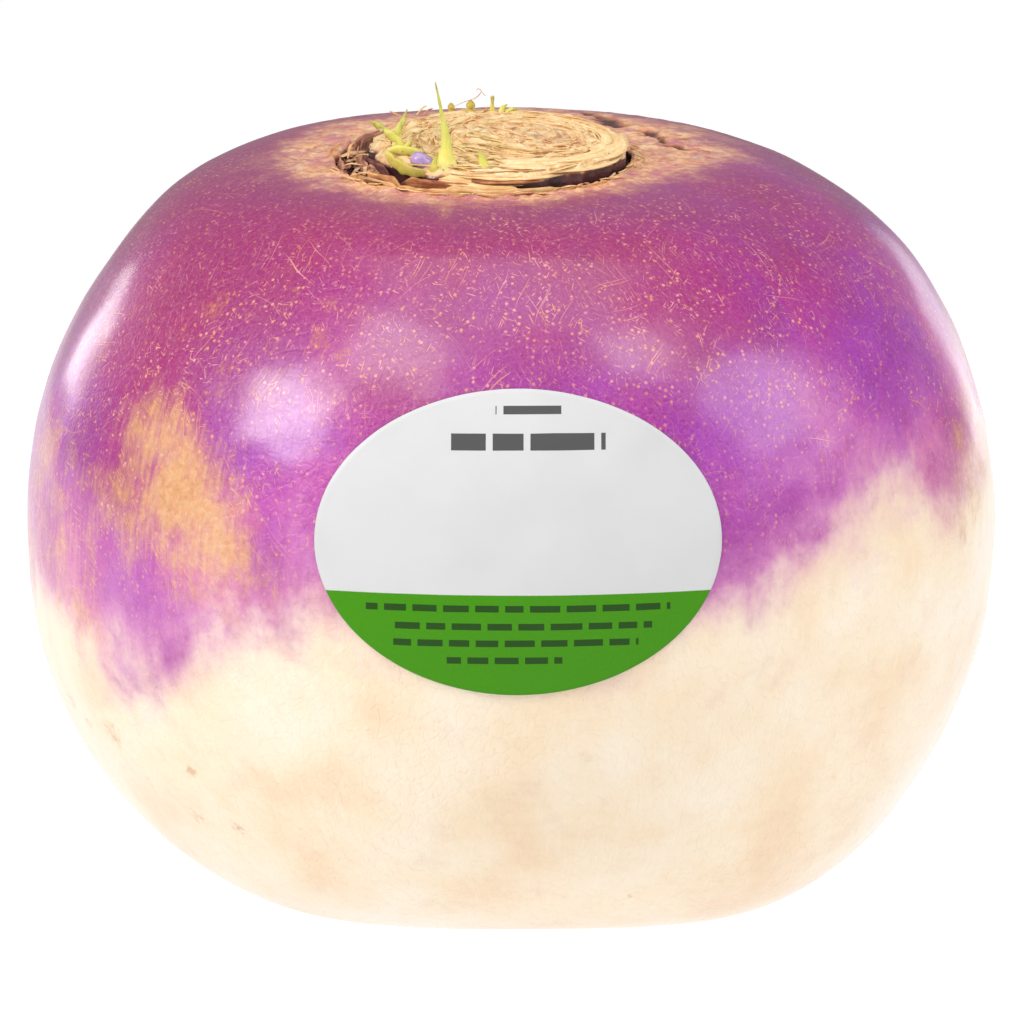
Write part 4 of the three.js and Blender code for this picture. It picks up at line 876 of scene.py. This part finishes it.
# ---------------------------------------------------------------- dry leaf bases, husks and fibres
def dry_material(name, stops, foot_shade):
    M = Mat(name, Roughness=0.82, IOR=1.4)
    P = M.mm(); fib = M.attr("fib", True); tone = M.attr("tone"); rise = M.attr("rise"); green = M.attr("green")
    f1 = M.noise(M.vop("MULTIPLY", fib, (3.2, 0.7, 1.0)), 1, 4, 0.6); f2 = M.noise(M.vop("MULTIPLY", fib, (9.0, 1.2, 1.0)), 1, 3, 0.6)
    blot = M.noise(P, 0.9, 3, 0.6)
    k = M.add(M.add(M.mul(tone, 0.85), M.mul(M.sub(f1, 0.5), 0.7)), M.add(M.mul(M.sub(f2, 0.5), 0.4), M.mul(M.sub(blot, 0.5), 0.6)))
    col = M.ramp(M.add(k, 0.12), stops)
    col = M.mix(M.mul(green, 0.75), col, M.ramp(f1, [(0.35, rgb(196, 200, 96)), (0.65, rgb(226, 224, 150))]))
    # painted shade: the feet of the upright strips and the undersides of the crescents are darkened
    col = M.mix(M.step(rise, 0.42, 0.0, 0.0, 0.62), col, foot_shade)
    M.put(M.b.inputs["Base Color"], col)
    M.put(M.b.inputs["Roughness"], M.lin(f1, 0.3, 0.7, 0.70, 0.92))
    M.bump(M.add(M.mul(f1, 0.10), M.add(M.mul(f2, 0.05), M.mul(blot, 0.06))))
    return M.m


# the last colour of each is the painted shade at the feet and undersides
straw = dry_material("dry_leaf_base", [(0.0, rgb(252, 226, 176)), (0.25, rgb(240, 200, 142)), (0.5, rgb(220, 162, 106)), (0.75, rgb(166, 96, 64)), (1.0, rgb(108, 52, 40))], rgb(84, 40, 36))
husk = dry_material("dry_husk", [(0.0, rgb(242, 206, 164)), (0.22, rgb(224, 176, 134)), (0.5, rgb(172, 116, 96)), (0.75, rgb(116, 70, 66)), (1.0, rgb(72, 36, 38))], rgb(50, 22, 26))

# ---------------------------------------------------------------- shoots and bud
M = Mat("green_shoot", Roughness=0.42, IOR=1.42, Subsurface_Weight=0.25, Subsurface_Scale=0.0012)
M.b.inputs["Subsurface Radius"].default_value = (1.0, 0.9, 0.3)
P = M.mm(); al = M.attr("along"); kind = M.attr("kind")
n1 = M.noise(M.vop("MULTIPLY", P, (2.6, 2.6, 0.5)), 1, 3, 0.55); n2 = M.noise(P, 1.1, 3, 0.6)
g = M.ramp(M.add(al, M.mul(M.sub(n2, 0.5), 0.5)), [(0.0, rgb(244, 232, 164)), (0.22, rgb(232, 222, 112)), (0.5, rgb(214, 212, 98)), (0.8, rgb(196, 198, 92)), (1.0, rgb(176, 160, 84))])
g = M.mix(M.step(n1, 0.45, 0.75, 0, 0.4), g, rgb(240, 236, 160))
olive = M.ramp(M.add(al, M.mul(M.sub(n1, 0.5), 0.9)), [(0.1, rgb(206, 176, 78)), (0.5, rgb(190, 160, 60)), (0.9, rgb(170, 130, 66))])
col = M.mix(M.math("MINIMUM", M.mul(kind, 1.3), 1.0), g, olive)
sp = M.voro(P, 1.3); col = M.mix(M.mul(M.math("SUBTRACT", 1.0, M.step(sp.outputs["Distance"], 0.10, 0.17)), 0.6), col, rgb(120, 104, 40))
M.put(M.b.inputs["Base Color"], col)
M.put(M.b.inputs["Roughness"], M.lin(n2, 0.3, 0.7, 0.36, 0.55))
M.bump(M.add(M.mul(n1, 0.06), M.mul(n2, 0.05)))
shoot_mat = M.m
M = Mat("lilac_bud", Roughness=0.26, IOR=1.45, Coat_Weight=0.4, Coat_Roughness=0.12, Subsurface_Weight=0.2, Subsurface_Scale=0.001)
P = M.mm(); n1 = M.noise(M.vop("MULTIPLY", P, (1.0, 3.0, 1.0)), 1, 3, 0.6); n2 = M.noise(P, 0.8, 2, 0.5)
col = M.mix(M.step(n1, 0.35, 0.7), rgb(168, 138, 190), rgb(194, 166, 210)); col = M.mix(M.step(n2, 0.5, 0.75, 0, 0.5), col, rgb(172, 124, 168))
M.put(M.b.inputs["Base Color"], col); M.put(M.b.inputs["Roughness"], M.lin(n1, 0.3, 0.7, 0.22, 0.32)); M.bump(M.mul(n1, 0.03))
bud_mat = M.m


def dress(o, mat, nodes):
    o.data.materials.clear(); o.data.materials.append(mat)
    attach(o, "root")
    if nodes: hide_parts(*nodes)


dress(root, skin_mat, ["turnip_root"])
dress(label, label_mat, ["oval_label"])
for o, nodes, slot in dry: dress(o, straw if slot == "dry_leaf_base" else husk, nodes)
for o, slot in ((rim_flakes, "dry_leaf_base"), (disc_scales, "dry_leaf_base"), (crown_fibres, "dry_leaf_base"), (crown_hairs, "dry_leaf_base"), (husk_jumble, "dry_husk")):
    dress(o, straw if slot == "dry_leaf_base" else husk, [])
for o, nodes, slot in shoots: dress(o, bud_mat if slot == "lilac_bud" else shoot_mat, nodes)

# ================================================================ stage, light and camera
me = bpy.data.meshes.new("floor")
s = 6.0
me.from_pydata([(-s, -s, 0), (s, -s, 0), (s, s, 0), (-s, s, 0)], [], [(0, 1, 2, 3)])
floor = bpy.data.objects.new("floor", me); scene.collection.objects.link(floor)
M = Mat("floor", Roughness=0.95, IOR=1.2)
M.b.inputs["Specular IOR Level"].default_value = 0.1
M.put(M.b.inputs["Base Color"], M.mix(M.noise(M.mm(), 0.02, 2, 0.5), (0.15, 0.15, 0.15, 1), (0.17, 0.17, 0.17, 1)))
M.b.inputs["Emission Color"].default_value = (1, 1, 1, 1); M.b.inputs["Emission Strength"].default_value = 0.95
me.materials.append(M.m)

w = bpy.data.worlds.new("world"); scene.world = w; w.use_nodes = True
bg = w.node_tree.nodes["Background"]; bg.inputs[0].default_value = (1, 1, 1, 1); bg.inputs[1].default_value = 0.27


def area(name, az, el, dist, sx, sy, L, color=(1, 1, 1), aim=(0, 0, 0.036)):
    l = bpy.data.lights.new(name, "AREA"); l.shape = "RECTANGLE"; l.size, l.size_y = sx, sy
    l.energy = L * math.pi * sx * sy; l.color = color
    o = bpy.data.objects.new(name, l); scene.collection.objects.link(o)
    a, e_ = math.radians(az), math.radians(el)
    d = Vector((math.sin(a) * math.cos(e_), -math.cos(a) * math.cos(e_), math.sin(e_)))
    o.location = Vector(aim) + d * dist
    o.rotation_mode = "QUATERNION"; o.rotation_quaternion = d.to_track_quat("Z", "Y")
    return o


area("key_left", -59, 28, 0.60, 0.20, 0.20, 13.0, (1.0, 0.985, 0.955))
area("fill_right", 70, 27, 0.70, 0.32, 0.28, 4.2)
area("top_left", -36, 52, 0.70, 0.30, 0.24, 5.4)
area("top_right", 38, 50, 0.70, 0.26, 0.24, 5.2)
area("rim_left", -137, 12, 0.80, 0.18, 0.18, 5.5)
area("rim_right", 151, 4, 0.80, 0.24, 0.30, 1.4)
area("overhead", 0, 84, 0.70, 0.50, 0.50, 1.4)

cam = bpy.data.cameras.new("camera"); cam.lens = 220.604; cam.sensor_width = 36.0
cam.shift_x, cam.shift_y = -0.137 / 1024, 5.0 / 1024; cam.clip_start, cam.clip_end = 0.01, 50
co = bpy.data.objects.new("camera", cam); scene.collection.objects.link(co)
back = Vector((0, -math.cos(math.radians(8)), math.sin(math.radians(8))))
co.location = Vector((0, 0, -FLOOR * MM)) + back * 0.6
co.rotation_mode = "QUATERNION"; co.rotation_quaternion = back.to_track_quat("Z", "Y")
scene.camera = co
scene.view_settings.view_transform = "Standard"; scene.view_settings.look = "None"
